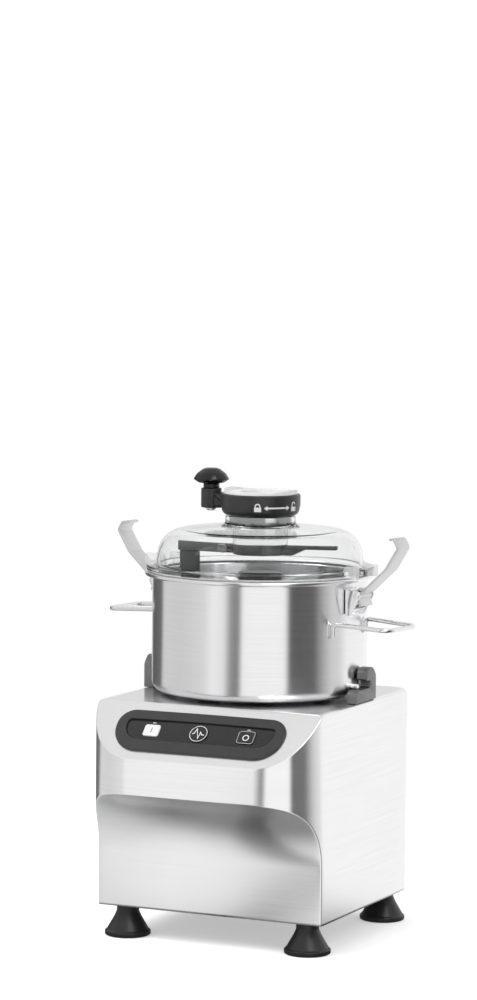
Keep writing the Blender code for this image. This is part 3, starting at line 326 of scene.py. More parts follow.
brushedFinish("housingSteel", grey(0.86), grey(0.94), 0.19, 0.86, 0.000008, 1.0, 0.94)
brushedFinish("bowlSteel", grey(0.82), grey(0.91), 0.20, 0.85, 0.000005, 1.2)
brushedFinish("latchSteel", grey(0.64), grey(0.74), 0.36, 0.50, 0.000006, 1.2)
brushedFinish("bladeSteel", grey(0.70), grey(0.84), 0.22, 0.50, 0.000004, 1.5)
brushedFinish("plateSteel", grey(0.50), grey(0.62), 0.42, 0.30)
grainFinish("bushSteel", grey(0.26), grey(0.34), 0.14, 240.0, 0.000002, 0.1, Metallic=1.0)
grainFinish("polishedSteel", grey(0.80), grey(0.90), 0.08, 240.0, 0.000002, 0.1, Metallic=1.0)
grainFinish("hookMetal", grey(0.15), grey(0.24), 0.38, 900.0, 0.00006, 0.5, Metallic=0.85)
grainFinish("footRubber", grey(0.008), grey(0.014), 0.38, 700.0, 0.00003, 0.35)
grainFinish("padRubber", grey(0.040), grey(0.060), 0.45, 700.0, 0.00003, 0.35)
grainFinish("bezelPlastic", grey(0.022), grey(0.030), 0.34, 1400.0, 0.00002, 0.3)
grainFinish("facePlastic", grey(0.011), grey(0.014), 0.26, 1500.0, 0.000004, 0.1)
grainFinish("hubPlastic", grey(0.018), grey(0.025), 0.36, 1300.0, 0.00002, 0.3)
grainFinish("scraperPlastic", grey(0.034), grey(0.046), 0.38, 1300.0, 0.00002, 0.3)
grainFinish("glossBlack", grey(0.002), grey(0.004), 0.14, 300.0, 0.000004, 0.2)
grainFinish("keyWhite", grey(0.66), grey(0.74), 0.35, 900.0, 0.00001, 0.2)
grainFinish("markWhite", grey(0.66), grey(0.74), 0.50, 900.0, 0.00001, 0.1)
grainFinish("markGrey", grey(0.05), grey(0.08), 0.50, 900.0, 0.00001, 0.1)
grainFinish("lampLens", grey(0.32), grey(0.42), 0.25, 500.0, 0.00001, 0.1)
grainFinish("sealSilicone", grey(0.62), grey(0.72), 0.45, 400.0, 0.00002, 0.3, Transmission_Weight=0.35)
grainFinish("castAluminium", grey(0.42), grey(0.55), 0.45, 500.0, 0.00008, 0.5, Metallic=1.0)
grainFinish("boardGreen", (0.010, 0.075, 0.028), (0.014, 0.110, 0.042), 0.40, 300.0, 0.00002, 0.3)

# Steel laminations: thin sheets stacked in height
tree, shader = newFinish("laminations", grey(0.14), Metallic=0.9)
place = addNode(tree, "TexCoord").outputs["Object"]
wave = addNode(tree, "TexWave", {"Vector": place, "Scale": 320.0, "Distortion": 0.4}, bands_direction="Z").outputs[1]
tint(tree, shader, wave, grey(0.06), grey(0.17))
tree.links.new(spread01(tree, wave, 0.40, 0.62), shader.inputs["Roughness"])
bump(tree, shader, wave, 0.4, 0.0001)

# Clear moulding of the lid, faintly uneven as moulded plastic is
tree, shader = newFinish("clearLid", (0.93, 0.935, 0.935), Transmission_Weight=1.0, IOR=1.22, Roughness=0.015)
place = addNode(tree, "TexCoord").outputs["Object"]
ripple = noise(tree, place, 14.0, 2.0)
tree.links.new(spread01(tree, ripple, 0.008, 0.030), shader.inputs["Roughness"])
bump(tree, shader, ripple, 0.12, 0.0004)

# Lugs of the lid: thin and pale, and they let light straight through, because light caught in small blocks goes dark
newFinish("clearLug", (0.80, 0.80, 0.80), Alpha=0.34, IOR=1.45, Roughness=0.10)

# Milky moulding of the filler cap
tree, shader = newFinish("capMilky", (0.76, 0.76, 0.76), IOR=1.40, Roughness=0.30)
place = addNode(tree, "TexCoord").outputs["Object"]
cloudy = noise(tree, place, 120.0, 3.0)
tint(tree, shader, cloudy, grey(0.71), grey(0.78))
tree.links.new(spread01(tree, cloudy, 0.26, 0.38), shader.inputs["Roughness"])
print("finishes made")


# Motor base

housing = {
    "noseReach": 52.0,
    "noseCorner": 60.0,
    "noseTopDrop": 55.0,
    "noseBottomDrop": 95.0,
    "coveDrop": 72.0,
    "backCorner": 23.0,
    "topEdge": 5.0,
    "cornerEdge": 1.8,
    "sheet": 1.8,
    "shaftHole": 13.0,
    "windowHalf": (86.0, 20.0),
}
bodyBottom = bodyLow[2]
front = bodyLow[1] + housing["noseReach"]
back = bodyHigh[1]
nose = bodyLow[1]


# Level rings of the housing. The side view gives each level its front line y(z); the plan gives the rest: a corner
# arc cut where it meets that line, the side, the back corner and half the back. The meeting corner is a
# quadratic Bezier bend, and the plan shrinks by r - sqrt(r^2 - h^2) over the last r of height.
def housingRings():
    h = housing
    coveRadius = (h["noseReach"] ** 2 + h["coveDrop"] ** 2) / (2.0 * h["noseReach"])
    noseLow = top - h["noseBottomDrop"]
    sweep = np.linspace(0.0, math.asin(h["coveDrop"] / coveRadius), 40)
    cove = np.column_stack((
        front - coveRadius + coveRadius * np.cos(sweep),
        noseLow - h["coveDrop"] + coveRadius * np.sin(sweep),
    ))
    corners = [(*cove[-2], 0.0), (nose, noseLow, 1.6), (nose, top - h["noseTopDrop"], 3.0)]
    corners += [(front, top, 3.5), (front + 20.0, top, 0.0)]
    upper = bend(corners, 8)[1:-1]
    lower = spread(np.array([(front, bodyBottom), (front, bodyBottom + 1.2), (front, cove[0, 1])]), 12)
    line = np.vstack((lower[:-1], cove[:-1], upper))
    line[-1, 1] = top
    cut = np.arcsin(np.clip((line[:, 0] - nose - h["noseCorner"]) / h["noseCorner"], -1.0, 1.0))
    measure = np.hypot(np.diff(line[:, 0]), np.diff(line[:, 1])) + h["noseCorner"] * np.abs(np.diff(cut))
    measure = np.concatenate(([0.0], np.cumsum(measure)))
    wanted = np.linspace(0.0, measure[-1], 190)
    level = np.interp(wanted, measure, line[:, 1])
    y = np.interp(wanted, measure, line[:, 0])
    over = np.clip(level - (top - h["topEdge"]), 0.0, h["topEdge"])
    inset = h["topEdge"] - np.sqrt(h["topEdge"] ** 2 - over**2)
    width, corner = halfWidth - inset, h["noseCorner"] - inset
    centreY = nose + h["noseCorner"]
    cut = np.arcsin(np.clip((y - centreY) / corner, -1.0, 0.0))
    meetX = width - corner + corner * np.cos(cut)
    step = np.minimum(h["cornerEdge"], meetX * 0.02)
    arcStart = cut + h["cornerEdge"] / corner
    arcX = (width - corner)[:, None] + corner[:, None] * np.cos(np.linspace(arcStart, 0.0 * cut, 30, axis=1))
    arcY = centreY + corner[:, None] * np.sin(np.linspace(arcStart, 0.0 * cut, 30, axis=1))
    share = np.linspace(0.0, 1.0, 7)[None, :-1]
    bendX = (1 - share) ** 2 * (meetX - step)[:, None] + 2 * share * (1 - share) * meetX[:, None]
    bendX += share**2 * arcX[:, :1]
    bendY = ((1 - share) ** 2 + 2 * share * (1 - share)) * y[:, None] + share**2 * arcY[:, :1]
    acrossShare = np.linspace(0.0, 1.0, 22)[None, :-1]
    frontX = acrossShare * (meetX - step)[:, None]
    frontY = np.broadcast_to(y[:, None], frontX.shape)
    backCorner = (h["backCorner"] - inset)[:, None]
    backCentre = back - h["backCorner"]
    sideShare = np.linspace(0.0, 1.0, 16)[None, 1:-1]
    sideX = np.broadcast_to(width[:, None], (len(level), 14))
    sideY = np.broadcast_to(centreY + sideShare * (backCentre - centreY), (len(level), 14))
    round4 = np.linspace(0.0, math.pi / 2.0, 14)[None]
    backX = (width - h["backCorner"] + inset)[:, None] + backCorner * np.cos(round4)
    backY = backCentre + backCorner * np.sin(round4)
    restX = (1.0 - np.linspace(0.0, 1.0, 14)[None, 1:]) * backX[:, -1:]
    restY = np.broadcast_to(backY[:, -1:], restX.shape)
    rightX = np.hstack((frontX, bendX, arcX, sideX, backX, restX))
    rightY = np.hstack((frontY, bendY, arcY, sideY, backY, restY))
    leftX, leftY = -rightX[:, -2:0:-1], rightY[:, -2:0:-1]
    x, yAll = np.hstack((rightX, leftX)), np.hstack((rightY, leftY))
    return np.stack((x, yAll, np.broadcast_to(level[:, None], x.shape)), axis=-1)


panelSpot = np.array((0.0, front - housing["noseReach"] / 2.0, top - housing["noseTopDrop"] / 2.0))
slope = math.degrees(math.atan2(housing["noseTopDrop"], housing["noseReach"]))


def onPanel(shell, x=0.0, y=0.0):
    points, faces = shell
    return moved((points + (x, y, 0.0), faces), panelSpot, (slope, 0.0, 0.0))


# The shell from bottom edge to shaft hole; quads behind the control panel are left out, as in a punched window.
def makeHousing():
    rows = housingRings()
    angle = np.arctan2(rows[-1, :, 1], rows[-1, :, 0])
    share = np.array([0.03, 0.1, 0.25, 0.5, 0.75, 0.92, 1.0])[:, None]
    holeX, holeY = housing["shaftHole"] * np.cos(angle), housing["shaftHole"] * np.sin(angle)
    topX = (1 - share) * rows[-1, :, 0] + share * holeX
    topY = (1 - share) * rows[-1, :, 1] + share * holeY
    crown = np.stack((topX, topY, np.full(topX.shape, top)), axis=-1)
    points, faces = skin(np.concatenate((rows, crown)), True, False, False)
    local = (points - panelSpot) @ turnMatrix((slope, 0.0, 0.0))
    middle = local[np.asarray(faces)].mean(1)
    halfX, halfY = housing["windowHalf"]
    window = (np.abs(middle[:, 0]) < halfX) & (np.abs(middle[:, 1]) < halfY) & (np.abs(middle[:, 2]) < 4.0)
    kept = [face for face, cut in zip(faces, window) if not cut]
    shell = addPiece(
        "housingShell", [(points, kept)], "housingSteel", "base", ["base_housing"], 50.0
    )
    wall = shell.modifiers.new("sheet", "SOLIDIFY")
    wall.thickness = housing["sheet"] * mm
    wall.offset = -1.0


makeHousing()

feet = {"radius": 25.5, "neck": 12.5, "height": 35.5, "lip": 3.2, "x": 109.0, "y": 104.5, "stud": 4.0}


def makeFeet():
    f = feet
    profile = [(0.5, 0.0, 0.0), (f["radius"] - 2.0, 0.0, 0.6), (f["radius"], 1.2, 1.0)]
    profile += [(f["radius"], f["lip"] + 2.0, 1.6), (f["radius"] - 2.2, f["lip"] + 3.6, 3.0)]
    profile += [(f["neck"] + 2.6, 21.0, 8.0), (f["neck"], 27.0, 6.0)]
    profile += [(f["neck"], f["height"] - 0.1, 0.6), (0.5, f["height"] - 0.1, 0.0)]
    shape = lathe(bend(profile), 72)
    stud = [(0.3, 30.0, 0.0), (f["stud"], 30.0, 0.0), (f["stud"], 44.0, 0.6), (0.3, 44.0, 0.0)]
    stud = lathe(bend(stud), 32)
    for name, x, y in (("front_left", -1, -1), ("front_right", 1, -1), ("back_right", 1, 1), ("back_left", -1, 1)):
        spot = (x * f["x"], y * f["y"], 0.0)
        shells = [moved(shape, spot), moved(stud, spot)]
        piece = "foot" + name.title().replace("_", "")
        addPiece(piece, shells, "footRubber", "base", ["foot_" + name])


makeFeet()
print("housing and feet made")


# Control panel

panel = {
    "halfWidth": 100.5,
    "low": -27.3,
    "high": 25.2,
    "arch": 1.2,
    "faceHalf": 88.0,
    "faceLow": -12.7,
    "faceHigh": 13.2,
    "keyX": 56.5,
    "bezelRise": 2.9,
    "faceRise": 0.9,
    "keyHalf": (9.2, 7.5),
    "keyCorner": 2.7,
    "stopKeyWider": 1.0,
    "pulseKeyRadius": 11.0,
    "keyRise": 1.4,
    "lampHalf": (2.1, 0.9),
    "lampY": 10.3,
}


# Radius of an outline at given angles about the origin, read off its dense points.
def radiusAt(outline, angles):
    dense = spread(outline, 1600, True)
    found = np.arctan2(dense[:, 1], dense[:, 0])
    order = np.argsort(found)
    return np.interp(angles, found[order], np.hypot(*dense.T)[order], period=2.0 * math.pi)


# A frame between an outer and an inner outline: matching points at each angle, carried over a rounded section.
def frameShell(outer, inner, low, high, edge, slopeIn, count=260):
    outer = spread(outer, count, True)
    angles = np.arctan2(outer[:, 1], outer[:, 0])
    reach = radiusAt(inner, angles)
    inside = np.column_stack((reach * np.cos(angles), reach * np.sin(angles)))
    inward = unit(inside - outer)
    turn = np.linspace(0.0, math.pi / 2.0, 5)
    rows = [np.column_stack((outer, np.full(count, low)))]
    for angle in turn:
        line = outer + inward * edge * (1.0 - math.cos(angle))
        rows.append(np.column_stack((line, np.full(count, high - edge * (1.0 - math.sin(angle))))))
    lipLine = inside - inward * slopeIn
    rows.append(np.column_stack((lipLine, np.full(count, high - 0.1))))
    for angle in turn:
        line = lipLine + inward * slopeIn * math.sin(angle)
        rows.append(np.column_stack((line, np.full(count, high - 0.1 - slopeIn * 0.5 * (1.0 - math.cos(angle))))))
    rows.append(np.column_stack((inside, np.full(count, low))))
    return skin(np.stack(rows), True, True, False)


def roundedBox(halfX, halfY, radius, steps):
    corners = [(-halfX, -halfY, radius), (halfX, -halfY, radius), (halfX, halfY, radius), (-halfX, halfY, radius)]
    return bend(corners, steps, True)


# A rounded bar with a slightly arched upper edge.
def panelOutline(half, low, lowRadius, high, highRadius, arch):
    corners = [(-half, low, lowRadius), (half, low, lowRadius), (half, high, highRadius)]
    corners += [(0.0, high + arch, 1500.0), (-half, high, highRadius)]
    return bend(corners, 14, True)


def makePanel():
    p = panel
    bezel = panelOutline(p["halfWidth"], p["low"], 31.0, p["high"], 19.0, p["arch"])
    face = panelOutline(p["faceHalf"], p["faceLow"], 19.0, p["faceHigh"], 4.5, p["arch"])
    frameRing = frameShell(bezel, grow(face, 0.3), 0.05, p["bezelRise"], 1.6, 1.6)
    addPiece("panelBezel", [onPanel(frameRing)], "bezelPlastic", "base", ["panel_bezel"], 40.0)
    plate = slab(face, -0.7, p["faceRise"], 0.35)
    addPiece("panelFace", [onPanel(plate)], "facePlastic", "base", ["panel_face"])
    key = roundedBox(*p["keyHalf"], p["keyCorner"], 8)
    stopKey = grow(key, p["stopKeyWider"])
    keyTop = p["faceRise"] + p["keyRise"]
    makeKey("Start", -p["keyX"], key, keyTop, "keyWhite")
    makeKey("Pulse", 0.0, ring(p["pulseKeyRadius"], 64), keyTop, "facePlastic")
    makeKey("Stop", p["keyX"], stopKey, keyTop, "facePlastic")
    low, high = keyTop - 0.05, keyTop + 0.12
    bar = ribbon([(0, -3.3), (0, 3.3)], 0.42, low, high)
    addPiece("markStart", [onPanel(bar, -p["keyX"])], "markGrey", "key_start")
    pulse = [(-7.2, -0.8), (-5.0, 0.3), (-3.1, 6.2), (0.9, -6.2), (2.1, 2.1), (4.2, -1.2), (7.2, -1.2)]
    shells = [onPanel(ribbon(pulse, 0.55, low, high)), onPanel(ribbon(ring(9.9, 64), 0.34, low, high, True))]
    addPiece("markPulse", shells, "markWhite", "key_pulse")
    outline = grow(stopKey, -0.8)
    shells = [onPanel(ribbon(outline, 0.17, low, high, True), p["keyX"])]
    shells.append(onPanel(ribbon(ring(3.3, 40), 0.55, low, high, True), p["keyX"], -0.6))
    addPiece("markStop", shells, "markWhite", "key_stop")
    lens = slab(roundedBox(*p["lampHalf"], 0.6, 6), 0.3, 1.4, 0.3)
    for name, x in (("start", -p["keyX"]), ("stop", p["keyX"])):
        shell = onPanel(lens, x, p["lampY"])
        addPiece("lamp" + name.title(), [shell], "lampLens", "base", ["light_" + name])


def makeKey(name, x, outline, high, finish):
    stem = slab(outline, -2.6, high, 0.5)
    lip = slab(grow(outline, 1.4), -2.6, -1.1, 0.2)
    node = "key_" + name.lower()
    addPiece("key" + name, [onPanel(stem, x), onPanel(lip, x)], finish, node, [node])


makePanel()
print("control panel made")


# Top of the base: hooks, pads, seal, gland, shaft

hooks = {"inner": 121.5, "outer": 134.0, "edge": 1.3}


def makeHooks():
    low = top + 0.3
    corners = [(-19.6, 0.0, 1.0), (36.6, 0.0, 1.0), (36.6, 14.1, 8.5), (-3.5, 14.1, 2.4), (-3.5, 21.8, 2.4)]
    corners += [(7.3, 22.5, 2.4), (7.3, 32.3, 5.5), (-0.4, 36.5, 7.0), (-11.0, 36.5, 9.0), (-19.6, 27.5, 9.0)]
    outline = spread(bend(corners, 8, True), 200, True)
    body = slab(outline, -hooks["outer"], -hooks["inner"], hooks["edge"])
    body = moved(body, (0.0, 0.0, low), sideways)
    for name, angle in (("right", 180.0), ("left", 0.0)):
        piece, nodes = "hook" + name.title(), ["hook_" + name]
        addPiece(piece, [turned(body, angle)], "hookMetal", "base", nodes, 40.0)


makeHooks()


seats = {
    "padHalf": (6.3, 16.2),
    "padCorner": 6.0,
    "padHeight": 3.0,
    "padEdge": 0.9,
    "padPlaces": ((-117.5, 69.0), (5.0, 74.0), (128.0, 69.0)),  # degrees round the shaft, and reach
    "bore": 9.2,
    "ringLow": 11.3,
    "ringHigh": 19.8,
    "glandFromSide": 40.0,
    "glandHeight": 32.0,
}


def makeSeats():
    s = seats
    shape = slab(roundedBox(*s["padHalf"], s["padCorner"], 10), top + 0.1, top + s["padHeight"], s["padEdge"])
    for k, (angle, reach) in enumerate(s["padPlaces"]):
        shell = turned(moved(shape, (reach, 0.0, 0.0)), angle)
        addPiece(f"bowlPad{k + 1}", [shell], "padRubber", "base", [f"bowl_pad_{k + 1}"])
    bore = s["bore"]
    collar = [(bore, top - 8.0, 0.0), (12.7, top - 8.0, 0.0), (12.7, top + 0.1, 0.0), (20.6, top + 0.1, 0.3)]
    collar += [(20.6, top + 2.2, 0.8), (16.4, top + 3.0, 1.0), (15.15, top + 4.6, 1.5), (15.15, top + 11.0, 0.6)]
    collar += [(bore, top + 11.0, 0.4)]
    shell = lathe(bend(collar, 6, True), 96, True)
    addPiece("shaftSeal", [shell], "hubPlastic", "base", ["shaft_seal"])
    low, high = top + s["ringLow"], top + s["ringHigh"]
    loose = [(bore, low, 0.0), (15.7, low, 0.4), (15.7, high, 2.2), (bore, high, 0.8)]
    shell = lathe(bend(loose, 6, True), 96, True)
    addPiece("centringRing", [shell], "hubPlastic", "turn_ring", ["centring_ring"])
    gland = [(4.5, -8.0, 0.0), (7.5, -8.0, 0.0), (7.5, 0.1, 0.0), (12.0, 0.1, 0.4), (12.0, 5.0, 0.8), (9.5, 7.0, 1.0)]
    gland += [(8.3, 13.9, 1.0), (5.4, 13.9, 0.6), (4.5, 12.0, 0.4)]
    nut = lathe([(4.6, 1.0), (13.4, 1.0), (13.4, 4.6), (4.6, 4.6)], 6, True)
    shells = [lathe(bend(gland, 5, True), 60, True), nut]
    spot = (halfWidth - s["glandFromSide"], back, bodyBottom + s["glandHeight"])
    shells = [moved(shell, spot, (-90.0, 0.0, 0.0)) for shell in shells]
    addPiece("cableGland", shells, "hubPlastic", "base", ["cable_gland"])


makeSeats()

shaft = {"radius": 8.5, "squareLength": 26.7, "squareHalf": 5.1, "squareAngle": -36.0}


# A turned bar with a square end: over the top stretch X and Y in the square's frame are held within its half width.
def makeShaft():
    s = shaft
    low, high = (corner[2] for corner in span("drive_shaft"))
    profile = bend([(0.3, low, 0.0), (s["radius"], low, 1.0), (s["radius"], high, 0.9), (0.3, high, 0.0)])
    flatLow = high - s["squareLength"]
    grooves = np.array([(s["radius"], flatLow - 60.0), (s["radius"], flatLow - 0.05), (s["radius"], flatLow)])
    profile = np.vstack((profile[:8], grooves, profile[8:]))
    profile = profile[np.argsort(profile[:, 1], kind="stable")]
    points, faces = lathe(profile, 128)
    held = points[:, 2] >= flatLow - 0.01
    reach = s["squareHalf"]
    points[:, :2] = np.where(held[:, None], np.clip(points[:, :2], -reach, reach), points[:, :2])
    shell = turned((points, faces), s["squareAngle"])
    addPiece("driveShaft", [shell], "polishedSteel", "spindle", ["drive_shaft"], 25.0)


makeShaft()
print("hooks, pads, seal, gland and shaft made")


# Bowl

bowl = {
    "radius": 120.0,
    "wall": 2.0,
    "corner": 12.0,
    "rimDrop": 4.2,
    "tubeBore": 16.3,
    "tubeRadius": 18.0,
    "tubeTop": 53.8,
    "pinHeight": 14.2,
    "pinRadius": 3.0,
    "pinEnd": 129.0,
}


def makeBowl():
    b = bowl
    low = bowlLow[2]
    floor = low + b["wall"]
    inner = b["radius"] - b["wall"]
    profile = [(b["tubeBore"], low, 0.6), (b["radius"], low, b["corner"])]
    profile += [(b["radius"], rim - b["rimDrop"], 2.5), (rimRadius, rim - b["rimDrop"], 2.0), (rimRadius, rim, 1.9)]
    profile += [(inner, rim, 3.0), (inner, floor, b["corner"] - b["wall"]), (b["tubeRadius"], floor, 4.0)]
    profile += [(b["tubeRadius"], rim - b["tubeTop"], 0.8), (b["tubeBore"], rim - b["tubeTop"], 0.6)]
    shell = lathe(bend(profile, 10, True), 200, True)
    addPiece("bowlShell", [shell], "bowlSteel", "bowl", ["bowl"], 40.0)


makeBowl()

bail = {"rod": 2.5, "halfSpan": 34.0, "drop": 48.0, "length": 64.9}
latch = {
    "halfWidth": 12.5,
    "thickness": 2.4,
    "open": 60.0,
    "pivotOut": 15.0,
    "pivotDrop": 18.0,
    "armRise": 52.4,
    "armReach": 34.2,
}


# A strip's side view: the path offset to both sides by half the thickness, then raised across its width.
def strapShell(path, halfWidth, thickness, edge):
    ahead = unit(np.gradient(path, axis=0))
    side = np.column_stack((-ahead[:, 1], ahead[:, 0])) * thickness / 2.0
    return slab(np.vstack((path + side, (path - side)[::-1])), -halfWidth, halfWidth, edge)


def makeBowlSides():
    for name, angle in (("right", bowlTurn), ("left", bowlTurn + 180.0)):
        handed = name.title()
        spot = (0.0, 0.0, bowlLow[2] + bowl["pinHeight"])
        radius, end = bowl["pinRadius"], bowl["pinEnd"]
        pin = lathe(bend([(0.2, 120.1, 0.0), (radius, 120.1, 0.3), (radius, end, 0.8), (0.2, end, 0.0)]), 40)
        weld = lathe(bend([(0.2, 119.4, 0.0), (5.2, 119.4, 0.0), (4.4, 120.8, 1.0), (0.2, 121.0, 0.0)]), 40)
        shells = [turned(moved(part, spot, (0.0, 90.0, 0.0)), angle) for part in (pin, weld)]
        addPiece("bowlPin" + handed, shells, "polishedSteel", "bowl", ["bowl_pin_" + name])
        makeBail(name, handed, angle)
        makeLatch(name, handed, angle)


def makeBail(name, handed, angle):
    b = bail
    root = math.sqrt(bowl["radius"] ** 2 - b["halfSpan"] ** 2) + b["rod"] + 0.5
    high = rim - b["drop"]
    end = bowl["radius"] + b["length"]
    half = [(root, b["halfSpan"], high - 14.0, 0.0), (root, b["halfSpan"], high, 5.0)]
    half += [(end, b["halfSpan"] - 3.0, high - 3.5, 12.0)]
    other = [(x, -y, z, radius) for x, y, z, radius in half[::-1]]
    path = spread(bend(half + other, 12), 150)
    shells = [tube(path, b["rod"], 22)]
    tab = bend([(-5.5, -10.0, 4.0), (5.5, -10.0, 4.0), (5.5, 8.0, 5.0), (-5.5, 8.0, 5.0)], 8, True)
    for side in (-1.0, 1.0):
        lean = math.degrees(math.atan2(side * b["halfSpan"], root - 3.0))
        plate = moved(slab(tab, 119.7, 121.1, 0.4), (0.0, 0.0, high - 6.0), sideways)
        clip = moved(slab(grow(tab, -1.5), 120.6, 122.0, 0.5), (0.0, 0.0, high - 6.0), sideways)
        shells += [turned(plate, lean), turned(clip, lean)]
    shells = [turned(shell, angle) for shell in shells]
    addPiece("handle" + handed, shells, "polishedSteel", "bowl", ["handle_" + name])


def makeLatch(name, handed, angle):
    pivotR = bowl["radius"] + latch["pivotOut"]
    pivotZ = rim - latch["pivotDrop"]
    backX = 0.3 - latch["pivotOut"]

    def atPivot(shell):
        return turned(moved(shell, (pivotR, 0.0, pivotZ)), angle)

    half = latch["halfWidth"]
    plate = bend([(-14.5, -21.5, 4.0), (14.5, -21.5, 4.0), (14.5, 6.0, 2.0), (-14.5, 6.0, 2.0)], 6, True)
    shells = [atPivot(moved(slab(plate, backX - 0.2, backX + 1.8, 0.5), turn=sideways))]
    cheek = [(backX + 0.6, -22.0, 1.0), (backX + 7.0, -22.0, 3.0), (1.5, -6.0, 4.0), (5.0, 0.0, 4.4)]
    cheek += [(3.0, 5.0, 4.0), (backX + 0.6, 7.0, 1.5)]
    outline = bend(cheek, 8, True)
    for side in (-1.0, 1.0):
        low = side * (half + 1.5) - 1.0
        shells.append(atPivot(moved(slab(outline, low, low + 2.0, 0.5), turn=standing)))
    stop = lathe(bend([(0.2, -15.5, 0.0), (1.8, -15.5, 0.5), (1.8, 15.5, 0.5), (0.2, 15.5, 0.0)]), 28)
    shells.append(atPivot(moved(stop, (backX + 5.6, 0.0, -16.0), standing)))
    addPiece("latchBracket" + handed, shells, "polishedSteel", "bowl", ["latch_bracket_" + name])

    pin = [(0.2, -16.4, 0.0), (3.2, -16.4, 0.8), (3.2, -15.0, 0.4), (2.0, -15.0, 0.0), (2.0, 15.0, 0.0)]
    pin += [(3.2, 15.0, 0.4), (3.2, 16.4, 0.8), (0.2, 16.4, 0.0)]
    shell = atPivot(moved(lathe(bend(pin, 5), 36), turn=standing))
    addPiece("latchPin" + handed, [shell], "polishedSteel", "bowl", ["latch_pin_" + name])

    armTop = latch["pivotDrop"] + latch["armRise"]
    armTip = -latch["armReach"]
    path = [(11.5, -3.0, 0.0), (0.0, 0.0, 5.0), (-9.6, 45.5, 8.0), (armTip + 11.5, armTop, 4.5)]
    path += [(armTip, armTop, 3.4), (armTip - 1.4, armTop - 5.0, 0.0)]
    strip = strapShell(spread(bend(path, 10), 90), half, latch["thickness"], 0.45)
    end = half - 0.2
    knuckle = [(2.3, -end, 0.3), (3.7, -end, 0.5), (3.7, end, 0.5), (2.3, end, 0.3)]
    knuckle = lathe(bend(knuckle, 5, True), 36, True)
    swung = (0.0, latch["open"], 0.0)
    shells = [atPivot(moved(moved(part, turn=standing), turn=swung)) for part in (strip, knuckle)]
    piece, nodes = "latchArm" + handed, ["latch_arm_" + name]
    addPiece(piece, shells, "latchSteel", "latch_" + name, nodes, 40.0)


makeBowlSides()
print("bowl, handles and latches made")


# Blade unit

# An edge is given along its length: shares of the length, angles round the shaft, reaches from it.
blades = {
    "ringRadius": 36.0,
    "bore": 19.2,
    "thickness": 2.0,
    "grind": 7.0,
    "outerEdge": ((0.0, 0.25, 0.5, 0.75, 1.0), (64.0, 46.0, 28.0, 10.5, -8.0), (30.0, 53.0, 72.0, 87.0, 104.0)),
    "innerEdge": (
        (0.0, 0.3, 0.5, 0.62, 0.8, 1.0),
        (2.0, 9.0, 4.0, -8.0, -18.0, -20.0),
        (28.0, 43.0, 56.0, 67.0, 80.0, 93.0),
    ),
}


def softened(line):  # a line of numbers averaged with a bell of nine neighbours, its ends kept
    bell = np.hanning(11)[1:-1] / np.hanning(11)[1:-1].sum()
    return np.concatenate((line[:4], np.convolve(line, bell, "valid"), line[-4:]))


# A blade's arm: its leading edge sweeps back convexly, its inner edge is narrow, then steps forward like a hook.
# Across the arm the top drops towards the leading edge, as ground; both edges meet the tip.
def bladeArm(low, count=60):
    share = np.linspace(0.0, 1.0, count)
    edges = []
    for places, angles, radii in (blades["outerEdge"], blades["innerEdge"]):
        angle = np.radians(softened(np.interp(share, places, angles)))
        radius = softened(np.interp(share, places, radii))
        edges.append(np.column_stack((radius * np.cos(angle), radius * np.sin(angle))))
    outer, inner = edges
    width = np.linalg.norm(outer - inner, axis=1)[:, None]
    ground = np.clip(blades["grind"] / width, 0.05, 0.75)
    across = np.hstack((0.0 * ground, ground * 0.5, ground, ground * 0.4 + 0.6, 1.0 + 0.0 * ground))
    full = blades["thickness"]
    thick = np.array([0.25, 0.5 * full + 0.15, full, full, full])
    flatPoints = outer[:, None] * (1.0 - across[..., None]) + inner[:, None] * across[..., None]
    upper = np.concatenate((flatPoints, np.broadcast_to((low + thick)[None, :, None], (count, 5, 1))), axis=2)
    lower = np.concatenate((flatPoints, np.full((count, 5, 1), low)), axis=2)
    return skin(np.concatenate((upper, lower[:, ::-1]), axis=1)[:, ::-1])


def makeBlades():
    b = blades
    for name, angle in (("lower", 0.0), ("upper", 180.0)):
        low = span(name + "_blade")[0][2]
        disc = [(b["bore"], low, 0.0), (b["ringRadius"] - 0.3, low, 0.3), (b["ringRadius"] - 0.3, low + 2.0, 0.3)]
        disc += [(b["bore"], low + 2.0, 0.0)]
        shells = [lathe(bend(disc, 4, True), 96, True), turned(bladeArm(low), angle)]
        addPiece(name + "Blade", shells, "bladeSteel", "blade_unit", [name + "_blade"], 20.0)
    low, high = (corner[2] for corner in span("hub_ring"))
    band = [(b["bore"], low, 0.2), (b["ringRadius"], low, 0.5), (b["ringRadius"], high, 0.5), (b["bore"], high, 0.2)]
    shell = lathe(bend(band, 5, True), 160, True)
    addPiece("hubRing", [shell], "polishedSteel", "blade_unit", ["hub_ring"])
    low, high = (corner[2] for corner in span("blade_hub"))
    shoulder = rim - bowl["tubeTop"] + 22.5
    hub = [(0.3, high - 5.0, 0.0), (8.68, high - 5.0, 0.0), (8.68, shoulder - 20.5, 0.0)]
    hub += [(b["bore"], shoulder - 20.5, 0.0), (b["bore"], low, 0.3), (37.3, low, 1.0), (37.3, low + 17.5, 4.0)]
    hub += [(25.7, low + 23.0, 7.0), (24.4, shoulder, 4.5), (13.2, shoulder + 7.0, 7.0), (13.2, high - 8.4, 2.2)]
    hub += [(24.2, high - 8.4, 2.4), (24.2, high, 2.6), (0.3, high, 0.0)]
    shell = lathe(bend(hub, 9), 128)
    addPiece("bladeHub", [shell], "hubPlastic", "blade_unit", ["blade_hub"], 40.0)


makeBlades()
print("blade unit made")


# Lid

